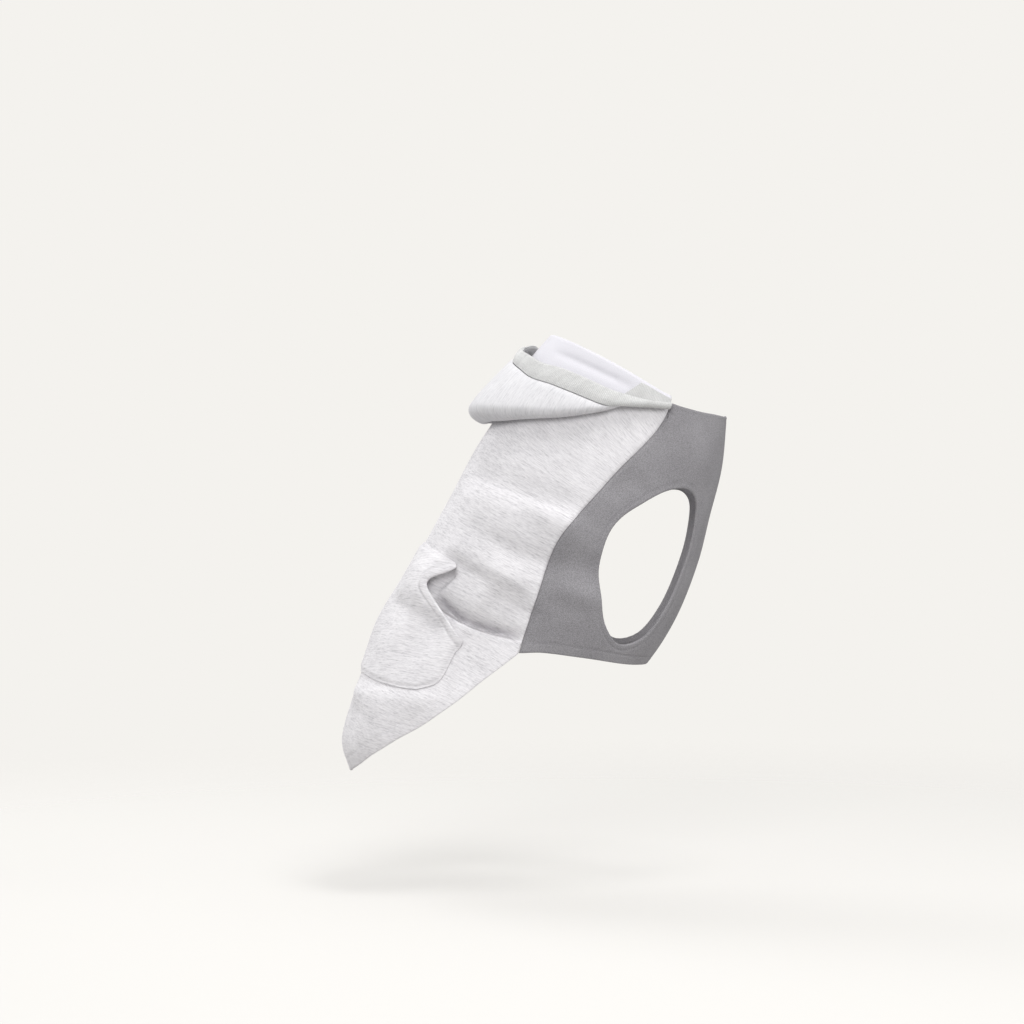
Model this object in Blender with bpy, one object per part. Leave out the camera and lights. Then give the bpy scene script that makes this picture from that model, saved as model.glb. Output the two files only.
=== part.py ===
"""Dog hoodie, sleeveless, hollow and open as it is worn, with its hood down.

Frame: metres, +X towards the throat, +Y to the wearer's left, +Z up. The origin is the middle of
the neck opening, where the wearer holds the hoodie up.

Every place on the cloth is given as on a paper pattern: an angle round the body in degrees (0 on
the spine, 90 on the wearer's right side, 180 on the belly), a distance down the body from the neck,
and a lift off the body. Each piece is cut flat in that plane, given its thickness there, and then
wrapped round the body form.
"""
import math
from collections import namedtuple

import bmesh
import bpy
from mathutils import Matrix, Vector

# ---------------------------------------------------------------- driving dimensions
WALL = 0.0018               # fleece and jersey
LINING_WALL = 0.0012
BAND_WALL = 0.0033          # rib folded double
SEAM_GAP = 0.0003           # between pieces sewn edge to edge
POCKET_TROUGH_SHARE = 0.35  # the pocket bridges the troughs under it and sinks this much of them
BAND_GAP = 0.0007           # between the hood's cloth and its band, whose seam turns round the fold
POCKET_GAP = 0.0006         # between the pocket's sewn edges and the back panel
POCKET_GAPE = 0.0024        # how far the pocket's hand openings stand open
POCKET_GAPE_REACH = 1.25    # how far past a hand opening's ends the cloth stands off, in half lengths
SPREAD = 0.0016             # pattern width of one degree round the body
EGG = 0.10                  # how much wider the spine half of a section is than the belly half

# Sections of the body form. `down` is measured along the spine from the neck.
Ring = namedtuple("Ring", "down spine_x spine_z belly_x belly_z half_width")
RINGS = (
    Ring(0.000, -0.080, 0.038, 0.087, -0.040, 0.066),
    Ring(0.045, -0.109, 0.004, 0.082, -0.092, 0.076),
    Ring(0.090, -0.134, -0.034, 0.070, -0.140, 0.083),
    Ring(0.135, -0.160, -0.073, 0.058, -0.187, 0.088),
    Ring(0.190, -0.186, -0.122, 0.037, -0.240, 0.091),
    Ring(0.238, -0.209, -0.164, 0.011, -0.282, 0.092),
    Ring(0.285, -0.232, -0.205, -0.022, -0.318, 0.093),
    Ring(0.331, -0.256, -0.245, -0.056, -0.352, 0.094),
    Ring(0.373, -0.270, -0.284, -0.082, -0.370, 0.093),
    Ring(0.415, -0.284, -0.324, -0.108, -0.386, 0.088),
    Ring(0.456, -0.294, -0.364, -0.132, -0.404, 0.079),
    Ring(0.488, -0.286, -0.394, -0.146, -0.421, 0.066),
)

# Soft folds (rise above 0) and troughs (below 0) on the right half. The left half has similar ones.
Fold = namedtuple("Fold", "angle_a down_a angle_b down_b bow rise half_width")
FOLDS = (
    Fold(24, 0.141, 84, 0.142, 0.000, -0.0024, 0.014),
    Fold(22, 0.162, 86, 0.157, 0.000, 0.0026, 0.012),
    Fold(36, 0.205, 84, 0.200, 0.000, -0.0022, 0.011),
    Fold(62, 0.179, 84, 0.174, 0.000, -0.0014, 0.008),
    Fold(44, 0.247, 88, 0.252, 0.000, -0.0020, 0.010),
    Fold(44, 0.271, 90, 0.266, 0.001, 0.0044, 0.010),
    Fold(40, 0.287, 92, 0.281, 0.001, -0.0056, 0.0065),
    Fold(14, 0.302, 48, 0.300, 0.000, -0.0016, 0.012),
    Fold(16, 0.404, 84, 0.352, 0.012, 0.0020, 0.012),
    Fold(16, 0.430, 66, 0.402, 0.006, -0.0018, 0.012),
    Fold(96, 0.200, 104, 0.150, 0.000, -0.0020, 0.010),
    Fold(92, 0.106, 112, 0.070, 0.000, -0.0018, 0.012),
    Fold(90, 0.232, 106, 0.206, 0.000, 0.0016, 0.010),
)
LEFT_SHIFT = 0.006          # the left half's folds lie this much lower
LEFT_BLEND = 40.0           # degrees past the spine over which they move down

# Edges of the panels, as places on the right half.
Spot = namedtuple("Spot", "angle down")
NECK_EDGE = (
    Spot(0, 0.0080), Spot(45, 0.0100), Spot(60, 0.0112), Spot(90, 0.0143), Spot(110, 0.0150),
    Spot(130, 0.0105), Spot(150, 0.0050), Spot(180, 0.0005),
)
SIDE_SEAM = (
    Spot(110.0, 0.0150), Spot(110.2, 0.0240), Spot(107.7, 0.0410), Spot(103.4, 0.0610),
    Spot(96.3, 0.0920), Spot(91.6, 0.1190), Spot(87.4, 0.1460), Spot(83.9, 0.1750),
    Spot(84.0, 0.1970), Spot(87.9, 0.2360), Spot(90.9, 0.2580), Spot(96.5, 0.2910),
)
BACK_HEM = (
    Spot(96.5, 0.2910), Spot(92.5, 0.3230), Spot(87.0, 0.3620), Spot(82.1, 0.3870),
    Spot(76.3, 0.4100), Spot(68.3, 0.4290), Spot(58.4, 0.4490), Spot(42.6, 0.4690),
    Spot(28.0, 0.4795), Spot(11.0, 0.4868),
)
BELLY_HEM = (
    Spot(96.5, 0.2910), Spot(104.0, 0.2810), Spot(117.0, 0.2706), Spot(130.8, 0.2617),
    Spot(149.4, 0.2530), Spot(165.0, 0.2470), Spot(180.0, 0.2440),
)
# The leg opening, closed, from its upper left round by the belly. Every corner spot faces a corner
# of the chest panel's half.
ARMHOLE = (
    Spot(112.0, 0.1130), Spot(123.0, 0.0905), Spot(136.0, 0.0795), Spot(147.0, 0.0870),
    Spot(151.5, 0.1120), Spot(152.5, 0.1500), Spot(151.5, 0.1900), Spot(147.0, 0.2220),
    Spot(135.0, 0.2385), Spot(122.0, 0.2290), Spot(112.5, 0.2070), Spot(105.5, 0.1820),
    Spot(103.0, 0.1560), Spot(105.0, 0.1340),
)
ARMHOLE_CORNERS = (0, 3, 7, 10, 14)
POCKET_EDGE = (
    Spot(43.0, 0.2440), Spot(44.7, 0.2480), Spot(41.0, 0.2595), Spot(37.7, 0.2690),
    Spot(37.6, 0.2764), Spot(41.3, 0.2825), Spot(47.6, 0.2884), Spot(56.8, 0.2954),
    Spot(65.2, 0.3024), Spot(69.9, 0.3064), Spot(71.4, 0.3192), Spot(72.2, 0.3306),
    Spot(72.5, 0.3401), Spot(71.8, 0.3520), Spot(69.4, 0.3620), Spot(63.0, 0.3730),
)
HAND_OPENING_TOP = 0.2480
HAND_OPENING_LOW = 0.3064
POCKET_BOTTOM = 0.3850
POCKET_TOP_DROP = 0.0015    # the pocket's top edge is this much higher at the spine
TAIL_TIP = 0.4880

# The hood hangs as a bag. Its section at an angle: a roll over the neck edge, a nape wall down to
# the fold, the fold, and an outer wall up to the mouth.
Bag = namedtuple("Bag", "angle fold_down fold_rise mouth_down mouth_rise band_width")
BAG = (
    Bag(0, 0.1150, 0.0310, 0.0290, 0.0200, 0.0210),
    Bag(25, 0.1060, 0.0295, 0.0320, 0.0195, 0.0210),
    Bag(39, 0.0960, 0.0275, 0.0350, 0.0185, 0.0210),
    Bag(50, 0.0860, 0.0250, 0.0345, 0.0175, 0.0210),
    Bag(60, 0.0760, 0.0225, 0.0335, 0.0165, 0.0210),
    Bag(68, 0.0660, 0.0200, 0.0330, 0.0155, 0.0207),
    Bag(76, 0.0550, 0.0175, 0.0325, 0.0145, 0.0192),
    Bag(84, 0.0430, 0.0150, 0.0300, 0.0130, 0.0168),
    Bag(93, 0.0340, 0.0132, 0.0265, 0.0120, 0.0145),
    Bag(102, 0.0270, 0.0122, 0.0215, 0.0112, 0.0128),
    Bag(110, 0.0220, 0.0118, 0.0165, 0.0108, 0.0118),
)
ROLL_RISE = 0.0030          # the hood stands up this much past the neck edge before it rolls over
ROLL_RISE_AT_THROAT = 0.0010  # and only this much at the throat, where it sinks
ROLL_DROP_ANGLE = 75.0      # from here round to the throat the roll sinks
ROLL_RADIUS = 0.0019        # middle of the wall, where the hood rolls over
FOLD_DEPTH_SHARE = 0.85     # the fold's reach down the body over its half height
HOOD_END = 108.6            # the hood's front edges, a little short of the side seams
HOOD_SPLIT = 0.1            # degrees from the spine to each half's centre edge

# ---------------------------------------------------------------- mesh density
BACK_COLUMNS = 24
RowRun = namedtuple("RowRun", "start stop rows")
UPPER_ROWS = (RowRun(0.008, 0.258, 21), RowRun(0.258, 0.291, 6))
MIDDLE_ROWS = RowRun(0.291, 0.311, 3)
TAIL_ROWS = 17
TAIL_ROW_EASE = 1.35        # above 1, rows close up towards the tail tip
NECK_FADE = 0.090           # rows follow the neck edge above this and the rings below it
NECK_COLUMNS = 10
FRONT_ROWS = 20
HEM_COLUMNS = 11
CHEST_STEPS = (0.0, 0.12, 0.34, 0.60, 0.82, 1.0)
HOOD_ROWS = 15
ColumnRun = namedtuple("ColumnRun", "start stop columns")
# Columns close up where the band's seam goes round the fold.
HOOD_COLUMNS = (ColumnRun(0, 66, 6), ColumnRun(66, 98, 10), ColumnRun(98, HOOD_END, 2))
ROLL_SAMPLES = 16
FOLD_SAMPLES = 40
WALL_SAMPLES = 16
BAND_ROWS = 4
BEND_WEIGHT = 0.012         # metres of path that a bend of one radian counts for in spacing rows
POCKET_COLUMNS = 20
LEAST_ROW = 0.004           # metres from the pocket's own rows within which a panel row is skipped
MERGE = 0.00001
SHARP_EDGE = 50.0           # degrees
SEE_REACH = 0.0008          # metres along the hood's section over which its direction is read

Finish = namedtuple("Finish", "red green blue roughness")
FINISHES = {
    "heather_fleece": Finish(218, 217, 220, 0.92),
    "grey_jersey": Finish(141, 139, 142, 0.85),
    "white_lining": Finish(245, 243, 245, 0.90),
    "rib_knit": Finish(211, 212, 210, 0.90),
}


# ---------------------------------------------------------------- reading the tables
def smooth_read(keys, values, at):
    """Cubic reading of a table, which goes through every row and runs straight past its ends."""
    last = len(keys) - 1
    slopes = []
    for i in range(len(keys)):
        before = max(i - 1, 0)
        after = min(i + 1, last)
        slopes.append((values[after] - values[before]) / (keys[after] - keys[before]))
    if at <= keys[0]:
        return values[0] + slopes[0] * (at - keys[0])
    if at >= keys[last]:
        return values[last] + slopes[last] * (at - keys[last])
    i = max(j for j in range(last) if keys[j] <= at)
    step = keys[i + 1] - keys[i]
    t = (at - keys[i]) / step
    return (
        (2 * t**3 - 3 * t**2 + 1) * values[i]
        + (t**3 - 2 * t**2 + t) * step * slopes[i]
        + (3 * t**2 - 2 * t**3) * values[i + 1]
        + (t**3 - t**2) * step * slopes[i + 1]
    )


def column(table, name):
    return [getattr(row, name) for row in table]


def down_at(edge, angle):
    return smooth_read(column(edge, "angle"), column(edge, "down"), angle)


def angle_at(edge, down):
    return smooth_read(column(edge, "down"), column(edge, "angle"), down)


def smooth_step(t):
    t = min(max(t, 0.0), 1.0)
    return t * t * (3 - 2 * t)


def even(start, stop, steps):
    return [start + (stop - start) * i / steps for i in range(steps + 1)]


# ---------------------------------------------------------------- the body form
RING_DOWNS = column(RINGS, "down")
RING_COLUMNS = {name: column(RINGS, name) for name in Ring._fields}


def ring_at(down):
    return Ring(down, *(smooth_read(RING_DOWNS, RING_COLUMNS[name], down) for name in Ring._fields[1:]))


def bare_form(angle, down):
    ring = ring_at(down)
    turn = math.radians(angle)
    across = (1 - math.cos(turn)) / 2
    return Vector((
        ring.spine_x + (ring.belly_x - ring.spine_x) * across,
        -ring.half_width * math.sin(turn) * (1 + EGG * math.cos(turn)),
        ring.spine_z + (ring.belly_z - ring.spine_z) * across,
    ))


def outward(angle, down):
    """The body form's normal, from two short steps on it."""
    step_angle = 0.5
    step_down = 0.0005
    round_body = bare_form(angle + step_angle, down) - bare_form(angle - step_angle, down)
    along_body = bare_form(angle, down + step_down) - bare_form(angle, down - step_down)
    return along_body.cross(round_body).normalized()


def fold_lift(angle, down, trough_share=1.0):
    """How far the soft folds push the cloth out or let it in. A layer on top sinks less."""
    side = (angle + 180) % 360 - 180
    if side < 0:
        down = down - LEFT_SHIFT * smooth_step(-side / LEFT_BLEND)
    x = abs(side) * SPREAD
    lift = 0.0
    for fold in FOLDS:
        start = (fold.angle_a * SPREAD, fold.down_a)
        run = (fold.angle_b * SPREAD - start[0], fold.down_b - start[1])
        length = math.hypot(*run)
        along = ((x - start[0]) * run[0] + (down - start[1]) * run[1]) / length
        off = ((down - start[1]) * run[0] - (x - start[0]) * run[1]) / length
        share = along / length
        off = off - fold.bow * 4 * share * (1 - share)
        ends = smooth_step((along + fold.half_width) / (2 * fold.half_width))
        ends = ends * smooth_step((length - along + fold.half_width) / (2 * fold.half_width))
        rise = fold.rise if fold.rise > 0 else fold.rise * trough_share
        lift = lift + rise * ends * math.exp(-((off / fold.half_width) ** 2))
    return lift


def wrap(angle, down, lift, trough_share=1.0):
    """A place on the pattern, carried to the worn form."""
    out = lift + fold_lift(angle, down, trough_share)
    return bare_form(angle, down) + outward(angle, down) * out


# ---------------------------------------------------------------- cutting a piece
def sheet(columns, rows, place, closed=False):
    """A flat grid in the pattern plane. place(i, j) gives (angle, down or path) of a grid point."""
    cloth = bmesh.new()
    bmesh.ops.create_grid(cloth, x_segments=columns, y_segments=rows, size=0.5)
    for vert in cloth.verts:
        i = round((vert.co.x + 0.5) * columns)
        j = round((vert.co.y + 0.5) * rows)
        angle, down = place(i % columns if closed else i, j)
        vert.co = Vector((angle * SPREAD, down, 0.0))
    bmesh.ops.remove_doubles(cloth, verts=cloth.verts, dist=MERGE)
    return cloth


def thicken(cloth, inner, outer):
    """Extrude the flat sheet from its inner lift to its outer lift, in the pattern plane."""
    for vert in cloth.verts:
        vert.co.z = inner
    grown = bmesh.ops.extrude_face_region(cloth, geom=cloth.faces[:], use_keep_orig=True)
    for item in grown["geom"]:
        if isinstance(item, bmesh.types.BMVert):
            item.co.z = outer
    bmesh.ops.recalc_face_normals(cloth, faces=cloth.faces)


def finish_piece(name, cloth, carry, finish):
    """Carry every point of the flat piece to the worn form and make the object."""
    for vert in cloth.verts:
        vert.co = carry(vert.co.x / SPREAD, vert.co.y, vert.co.z)
    if cloth.calc_volume(signed=True) < 0:
        bmesh.ops.reverse_faces(cloth, faces=cloth.faces)
    mesh = bpy.data.meshes.new(name)
    cloth.to_mesh(mesh)
    cloth.free()
    mesh.shade_smooth()
    mesh.set_sharp_from_angle(angle=math.radians(SHARP_EDGE))
    mesh.materials.append(material(finish))
    piece = bpy.data.objects.new(name, mesh)
    bpy.context.scene.collection.objects.link(piece)
    return piece


def material(name):
    if name in bpy.data.materials:
        return bpy.data.materials[name]
    finish = FINISHES[name]
    made = bpy.data.materials.new(name)
    made.use_nodes = True
    shader = made.node_tree.nodes["Principled BSDF"]
    colour = [(value / 255) ** 2.2 for value in (finish.red, finish.green, finish.blue)]
    shader.inputs["Base Color"].default_value = (*colour, 1.0)
    shader.inputs["Roughness"].default_value = finish.roughness
    shader.inputs["Metallic"].default_value = 0.0
    return made


# ---------------------------------------------------------------- back panel
def seam_row_downs():
    """Rows of the back panel from the neck to the lower end of the side seam."""
    downs = [UPPER_ROWS[0].start]
    for run in UPPER_ROWS:
        downs.extend(even(run.start, run.stop, run.rows)[1:])
    return downs


def back_row_downs():
    reach = BACK_HEM[-1].down - MIDDLE_ROWS.stop
    tail = [MIDDLE_ROWS.stop + reach * (1 - (1 - t) ** TAIL_ROW_EASE) for t in even(0, 1, TAIL_ROWS)[1:]]
    return seam_row_downs() + even(*MIDDLE_ROWS)[1:] + tail


def follow_neck(down, angle):
    """A row near the neck runs beside the neck edge, and further down beside the rings."""
    top = UPPER_ROWS[0].start
    fade = 1 - smooth_step((down - top) / (NECK_FADE - top))
    return down + (down_at(NECK_EDGE, angle) - top) * fade


def seam_spot(down):
    """The side seam's place for a row of the back panel."""
    row_down = follow_neck(down, SIDE_SEAM[0].angle)
    return Spot(angle_at(SIDE_SEAM, row_down), row_down)


def back_panel():
    downs = back_row_downs()
    corner = UPPER_ROWS[-1].stop
    reach = BACK_HEM[-1].down - corner
    half_gap = SEAM_GAP / 2 / SPREAD

    def place(i, j):
        share = 2 * i / BACK_COLUMNS - 1
        down = downs[j]
        if down <= corner:
            angle = share * (seam_spot(down).angle - half_gap)
            return angle, follow_neck(down, abs(angle))
        tip = (TAIL_TIP - BACK_HEM[-1].down) * (1 - share**2) * smooth_step((down - corner) / reach)
        return share * angle_at(BACK_HEM, down), down + tip

    cloth = sheet(BACK_COLUMNS, len(downs) - 1, place)
    thicken(cloth, 0.0, WALL)
    return finish_piece("back_panel", cloth, wrap, "heather_fleece")


# ---------------------------------------------------------------- chest panel
def closed_curve(spots, at):
    """A smooth closed curve through the spots. at counts spots round it."""
    count = len(spots)
    i = math.floor(at)
    t = at - i
    before, start, stop, after = (spots[(i + k) % count] for k in (-1, 0, 1, 2))
    blend = (
        (-t + 2 * t**2 - t**3) / 2, (2 - 5 * t**2 + 3 * t**3) / 2,
        (t + 4 * t**2 - 3 * t**3) / 2, (t**3 - t**2) / 2,
    )
    four = (before, start, stop, after)
    return Spot(
        sum(b * spot.angle for b, spot in zip(blend, four)),
        sum(b * spot.down for b, spot in zip(blend, four)),
    )


def chest_outline():
    """The right half of the chest panel: its four edges, each a list of spots, end to end."""
    half_gap = SEAM_GAP / 2 / SPREAD
    seam = [seam_spot(down) for down in seam_row_downs()]
    seam = [Spot(spot.angle + half_gap, spot.down) for spot in seam]
    neck = [Spot(a, down_at(NECK_EDGE, a)) for a in even(seam[0].angle, 180, NECK_COLUMNS)]
    front = [Spot(180, d) for d in even(NECK_EDGE[-1].down, BELLY_HEM[-1].down, FRONT_ROWS)]
    hem = [Spot(a, down_at(BELLY_HEM, a)) for a in even(180, seam[-1].angle, HEM_COLUMNS)]
    return neck, front, hem, seam[::-1]


def chest_panel():
    outer = []
    inner = []
    for side, edge in enumerate(chest_outline()):
        steps = len(edge) - 1
        first, last = ARMHOLE_CORNERS[side], ARMHOLE_CORNERS[side + 1]
        outer.extend(edge[:-1])
        inner.extend(closed_curve(ARMHOLE, at) for at in even(first, last, steps)[:-1])

    def place(i, j):
        share = CHEST_STEPS[j]
        return (
            inner[i].angle + (outer[i].angle - inner[i].angle) * share,
            inner[i].down + (outer[i].down - inner[i].down) * share,
        )

    cloth = sheet(len(outer), len(CHEST_STEPS) - 1, place, closed=True)
    centre_front = Matrix.Translation((180 * SPREAD, 0, 0))
    bmesh.ops.mirror(cloth, geom=cloth.verts[:] + cloth.edges[:] + cloth.faces[:],
                     matrix=centre_front.inverted(), merge_dist=MERGE, axis="X")
    bmesh.ops.remove_doubles(cloth, verts=cloth.verts, dist=MERGE)
    thicken(cloth, 0.0, WALL)
    return finish_piece("chest_panel", cloth, wrap, "grey_jersey")


# ---------------------------------------------------------------- hood
def bag_at(angle):
    side = abs(angle)
    angles = column(BAG, "angle")
    return Bag(side, *(smooth_read(angles, column(BAG, name), side) for name in Bag._fields[1:]))


def bag_path(angle):
    """The middle of the shell's wall in one section, as (down, lift) points from seam to mouth."""
    bag = bag_at(angle)
    neck = down_at(NECK_EDGE, abs(angle))
    low = WALL / 2
    nape = low + 2 * ROLL_RADIUS
    high = bag.fold_rise - WALL / 2
    fold_half = (high - nape) / 2
    fold_reach = FOLD_DEPTH_SHARE * fold_half
    turn_at = bag.fold_down - WALL / 2 - fold_reach
    points = [(neck - SEAM_GAP, low)]
    sink = smooth_step((abs(angle) - ROLL_DROP_ANGLE) / (HOOD_END - ROLL_DROP_ANGLE))
    roll = neck - ROLL_RISE + (ROLL_RISE - ROLL_RISE_AT_THROAT) * sink
    for turn in even(0, math.pi, ROLL_SAMPLES):
        points.append((roll - ROLL_RADIUS * math.sin(turn), nape - ROLL_RADIUS * (1 + math.cos(turn))))
    for down in even(roll, turn_at, WALL_SAMPLES)[1:-1]:
        points.append((down, nape))
    for turn in even(0, math.pi, FOLD_SAMPLES):
        points.append((turn_at + fold_reach * math.sin(turn), nape + fold_half * (1 - math.cos(turn))))
    mouth_rise = bag.mouth_rise - WALL / 2
    for share in even(0, 1, WALL_SAMPLES)[1:]:
        down = turn_at + (bag.mouth_down - turn_at) * share
        points.append((down, high + (mouth_rise - high) * smooth_step(share)))
    return points


SECTIONS = {}


def section(angle):
    """Path points with their length so far, and with bends counted in, kept for each angle."""
    key = round(abs(angle), 6)
    if key not in SECTIONS:
        points = bag_path(key)
        lengths = [0.0]
        weights = [0.0]
        heading = None
        for a, b in zip(points, points[1:]):
            step = math.hypot(b[0] - a[0], b[1] - a[1])
            new_heading = math.atan2(b[1] - a[1], b[0] - a[0])
            bend = 0.0 if heading is None else abs((new_heading - heading + math.pi) % math.tau - math.pi)
            heading = new_heading
            lengths.append(lengths[-1] + step)
            weights.append(weights[-1] + step + BEND_WEIGHT * bend)
        SECTIONS[key] = (points, lengths, weights)
    return SECTIONS[key]


def straight_read(keys, values, at):
    at = min(max(at, keys[0]), keys[-1])
    i = max(j for j in range(len(keys) - 1) if keys[j] <= at)
    t = (at - keys[i]) / (keys[i + 1] - keys[i])
    return values[i] + (values[i + 1] - values[i]) * t


def hood_rows(angle, start, stop, rows):
    """Path lengths from start to stop, closer together where the section bends."""
    _, lengths, weights = section(angle)
    first = straight_read(lengths, weights, start)
    last = straight_read(lengths, weights, stop)
    return [straight_read(weights, lengths, weight) for weight in even(first, last, rows)]


def band_start(angle):
    return section(angle)[1][-1] - bag_at(angle).band_width


def carry_hood(angle, length, off):
    """A place on the hood: length along its section, off towards its heather side."""
    points, lengths, _ = section(angle)
    before = [straight_read(lengths, values, length - SEE_REACH) for values in zip(*points)]
    after = [straight_read(lengths, values, length + SEE_REACH) for values in zip(*points)]
    here = [straight_read(lengths, values, length) for values in zip(*points)]
    run = math.hypot(after[0] - before[0], after[1] - before[1])
    down = here[0] + off * (after[1] - before[1]) / run
    lift = here[1] - off * (after[0] - before[0]) / run
    return bare_form(angle, down) + outward(angle, down) * lift


def hood_piece(name, angles, rows, stretch, inner, outer, finish):
    """One piece of the hood. stretch(angle) gives where it starts and stops along the section."""
    lengths = [hood_rows(angle, *stretch(angle), rows) for angle in angles]
    cloth = sheet(len(angles) - 1, rows, lambda i, j: (angles[i], lengths[i][j]))
    thicken(cloth, inner, outer)
    return finish_piece(name, cloth, carry_hood, finish)


def hood():
    def shell_stretch(angle):
        return 0.0, band_start(angle) - BAND_GAP

    def band_stretch(angle):
        return band_start(angle), section(angle)[1][-1]

    half = [angle for run in HOOD_COLUMNS for angle in even(*run)[1:]]
    outside = WALL / 2
    inside = -WALL / 2
    lining_outside = inside - SEAM_GAP
    for side, sign in (("right", 1), ("left", -1)):
        angles = [sign * angle for angle in [HOOD_SPLIT] + half]
        span = (angles, HOOD_ROWS, shell_stretch)
        hood_piece(f"hood_{side}", *span, inside, outside, "heather_fleece")
        hood_piece(f"hood_lining_{side}", *span, lining_outside - LINING_WALL, lining_outside, "white_lining")
    angles = [-angle for angle in half[::-1]] + [0.0] + half
    hood_piece("hood_band", angles, BAND_ROWS, band_stretch, outside - BAND_WALL, outside, "rib_knit")


# ---------------------------------------------------------------- pocket
def pocket():
    """Laid on the back panel: the panel's own points, moved out."""
    top = POCKET_EDGE[0].down
    last_side = POCKET_EDGE[-1].down
    own_rows = [top, HAND_OPENING_TOP, HAND_OPENING_LOW, last_side]
    panel_rows = [d for d in back_row_downs() if top < d < last_side]
    panel_rows = [d for d in panel_rows if min(abs(d - own) for own in own_rows) > LEAST_ROW]
    downs = sorted(own_rows + panel_rows)

    def place(i, j):
        share = 2 * i / POCKET_COLUMNS - 1
        down = downs[j]
        progress = (down - top) / (last_side - top)
        rise = POCKET_TOP_DROP * (1 - share**2) * (1 - progress)
        sag = (POCKET_BOTTOM - last_side) * (1 - share**4) * smooth_step(2 * progress - 1)
        return share * angle_at(POCKET_EDGE, down), down - rise + sag

    def gape(angle, down):
        """The cloth stands off the panel near the hand openings and lies on it elsewhere."""
        middle = (HAND_OPENING_TOP + HAND_OPENING_LOW) / 2
        half = (HAND_OPENING_LOW - HAND_OPENING_TOP) / 2
        level = smooth_step(POCKET_GAPE_REACH - abs(down - middle) / half)
        edge = smooth_step(abs(angle) / angle_at(POCKET_EDGE, min(max(down, top), last_side)))
        return POCKET_GAPE * level * edge

    def carry(angle, down, lift):
        return wrap(angle, down, lift + gape(angle, down), POCKET_TROUGH_SHARE)

    cloth = sheet(POCKET_COLUMNS, len(downs) - 1, place)
    thicken(cloth, WALL + POCKET_GAP, 2 * WALL + POCKET_GAP)
    return finish_piece("pocket", cloth, carry, "heather_fleece")


def clear_scene():
    for item in list(bpy.data.objects):
        bpy.data.objects.remove(item, do_unlink=True)


def main():
    clear_scene()
    back_panel()
    chest_panel()
    hood()
    pocket()


main()
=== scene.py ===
# %% [markdown]
# # A dog hoodie, dressed
#
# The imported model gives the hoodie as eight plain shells: a back panel, a chest panel, two hood
# halves with their lining, a rib band round the hood's mouth, and a pocket. This lesson cuts every
# shell again from the same pattern with many more points, and adds soft folds, hems, seams,
# stitches and a knit or fleece finish.

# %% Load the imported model
import math
from collections import namedtuple

import bmesh
import bpy
import numpy as np
from mathutils import Matrix, Vector
from mathutils.kdtree import KDTree


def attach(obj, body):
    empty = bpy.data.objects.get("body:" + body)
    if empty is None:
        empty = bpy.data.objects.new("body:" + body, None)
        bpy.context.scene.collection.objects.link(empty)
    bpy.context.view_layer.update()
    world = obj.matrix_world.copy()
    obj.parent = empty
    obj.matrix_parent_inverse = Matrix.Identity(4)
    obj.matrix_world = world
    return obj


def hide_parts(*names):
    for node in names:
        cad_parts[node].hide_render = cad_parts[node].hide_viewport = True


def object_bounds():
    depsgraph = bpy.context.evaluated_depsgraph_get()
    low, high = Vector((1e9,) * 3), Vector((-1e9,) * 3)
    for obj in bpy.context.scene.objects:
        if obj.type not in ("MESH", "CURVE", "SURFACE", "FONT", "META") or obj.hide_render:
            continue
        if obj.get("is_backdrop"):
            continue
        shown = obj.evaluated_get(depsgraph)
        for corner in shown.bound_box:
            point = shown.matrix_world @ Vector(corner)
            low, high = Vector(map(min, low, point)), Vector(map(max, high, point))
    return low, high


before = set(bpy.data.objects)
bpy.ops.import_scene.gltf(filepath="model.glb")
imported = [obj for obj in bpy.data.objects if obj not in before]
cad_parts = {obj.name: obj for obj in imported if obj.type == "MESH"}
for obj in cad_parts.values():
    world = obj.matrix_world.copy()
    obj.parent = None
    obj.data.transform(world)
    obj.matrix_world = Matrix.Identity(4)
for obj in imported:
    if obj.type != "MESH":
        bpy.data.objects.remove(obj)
model_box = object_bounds()
print("nodes:", sorted(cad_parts))

# %% [markdown]
# ## The form that the cloth lies on
#
# A place on the pattern is an angle round the body (0 on the spine, 90 on the wearer's right side,
# 180 on the belly) and a distance down the body. The form itself is a row of slanted rings. It could
# be sculpted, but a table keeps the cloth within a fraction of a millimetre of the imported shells.

# %% Rings of the body form
WALL = 0.0018
LINING_WALL = 0.0012
SEAM_GAP = 0.0003
BAND_WALL = 0.0033
BAND_GAP = 0.0007
POCKET_GAP = 0.0006
SPREAD = 0.0016        # pattern width of one degree
GRAIN_WIDTH = 0.0020   # cloth width of one degree, for the grain of the panels
HOOD_WIDTH = 0.0019    # and of the hood, which is narrower
EGG = 0.10             # how much wider the spine half of a ring is than the belly half

def table(kind, *rows):
    return [kind(*row) for row in rows]


Ring = namedtuple("Ring", "down spine_x spine_z belly_x belly_z half_width")
RINGS = table(
    Ring,
    (0.000, -0.080, 0.038, 0.087, -0.040, 0.066),
    (0.045, -0.109, 0.004, 0.082, -0.092, 0.076),
    (0.090, -0.134, -0.034, 0.070, -0.140, 0.083),
    (0.135, -0.160, -0.073, 0.058, -0.187, 0.088),
    (0.190, -0.186, -0.122, 0.037, -0.240, 0.091),
    (0.238, -0.209, -0.164, 0.011, -0.282, 0.092),
    (0.285, -0.232, -0.205, -0.022, -0.318, 0.093),
    (0.331, -0.256, -0.245, -0.056, -0.352, 0.094),
    (0.373, -0.270, -0.284, -0.082, -0.370, 0.093),
    (0.415, -0.284, -0.324, -0.108, -0.386, 0.088),
    (0.456, -0.294, -0.364, -0.132, -0.404, 0.079),
    (0.488, -0.286, -0.394, -0.146, -0.421, 0.066),
)


def smooth_step(t):
    t = np.clip(t, 0.0, 1.0)
    return t * t * (3 - 2 * t)


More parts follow.
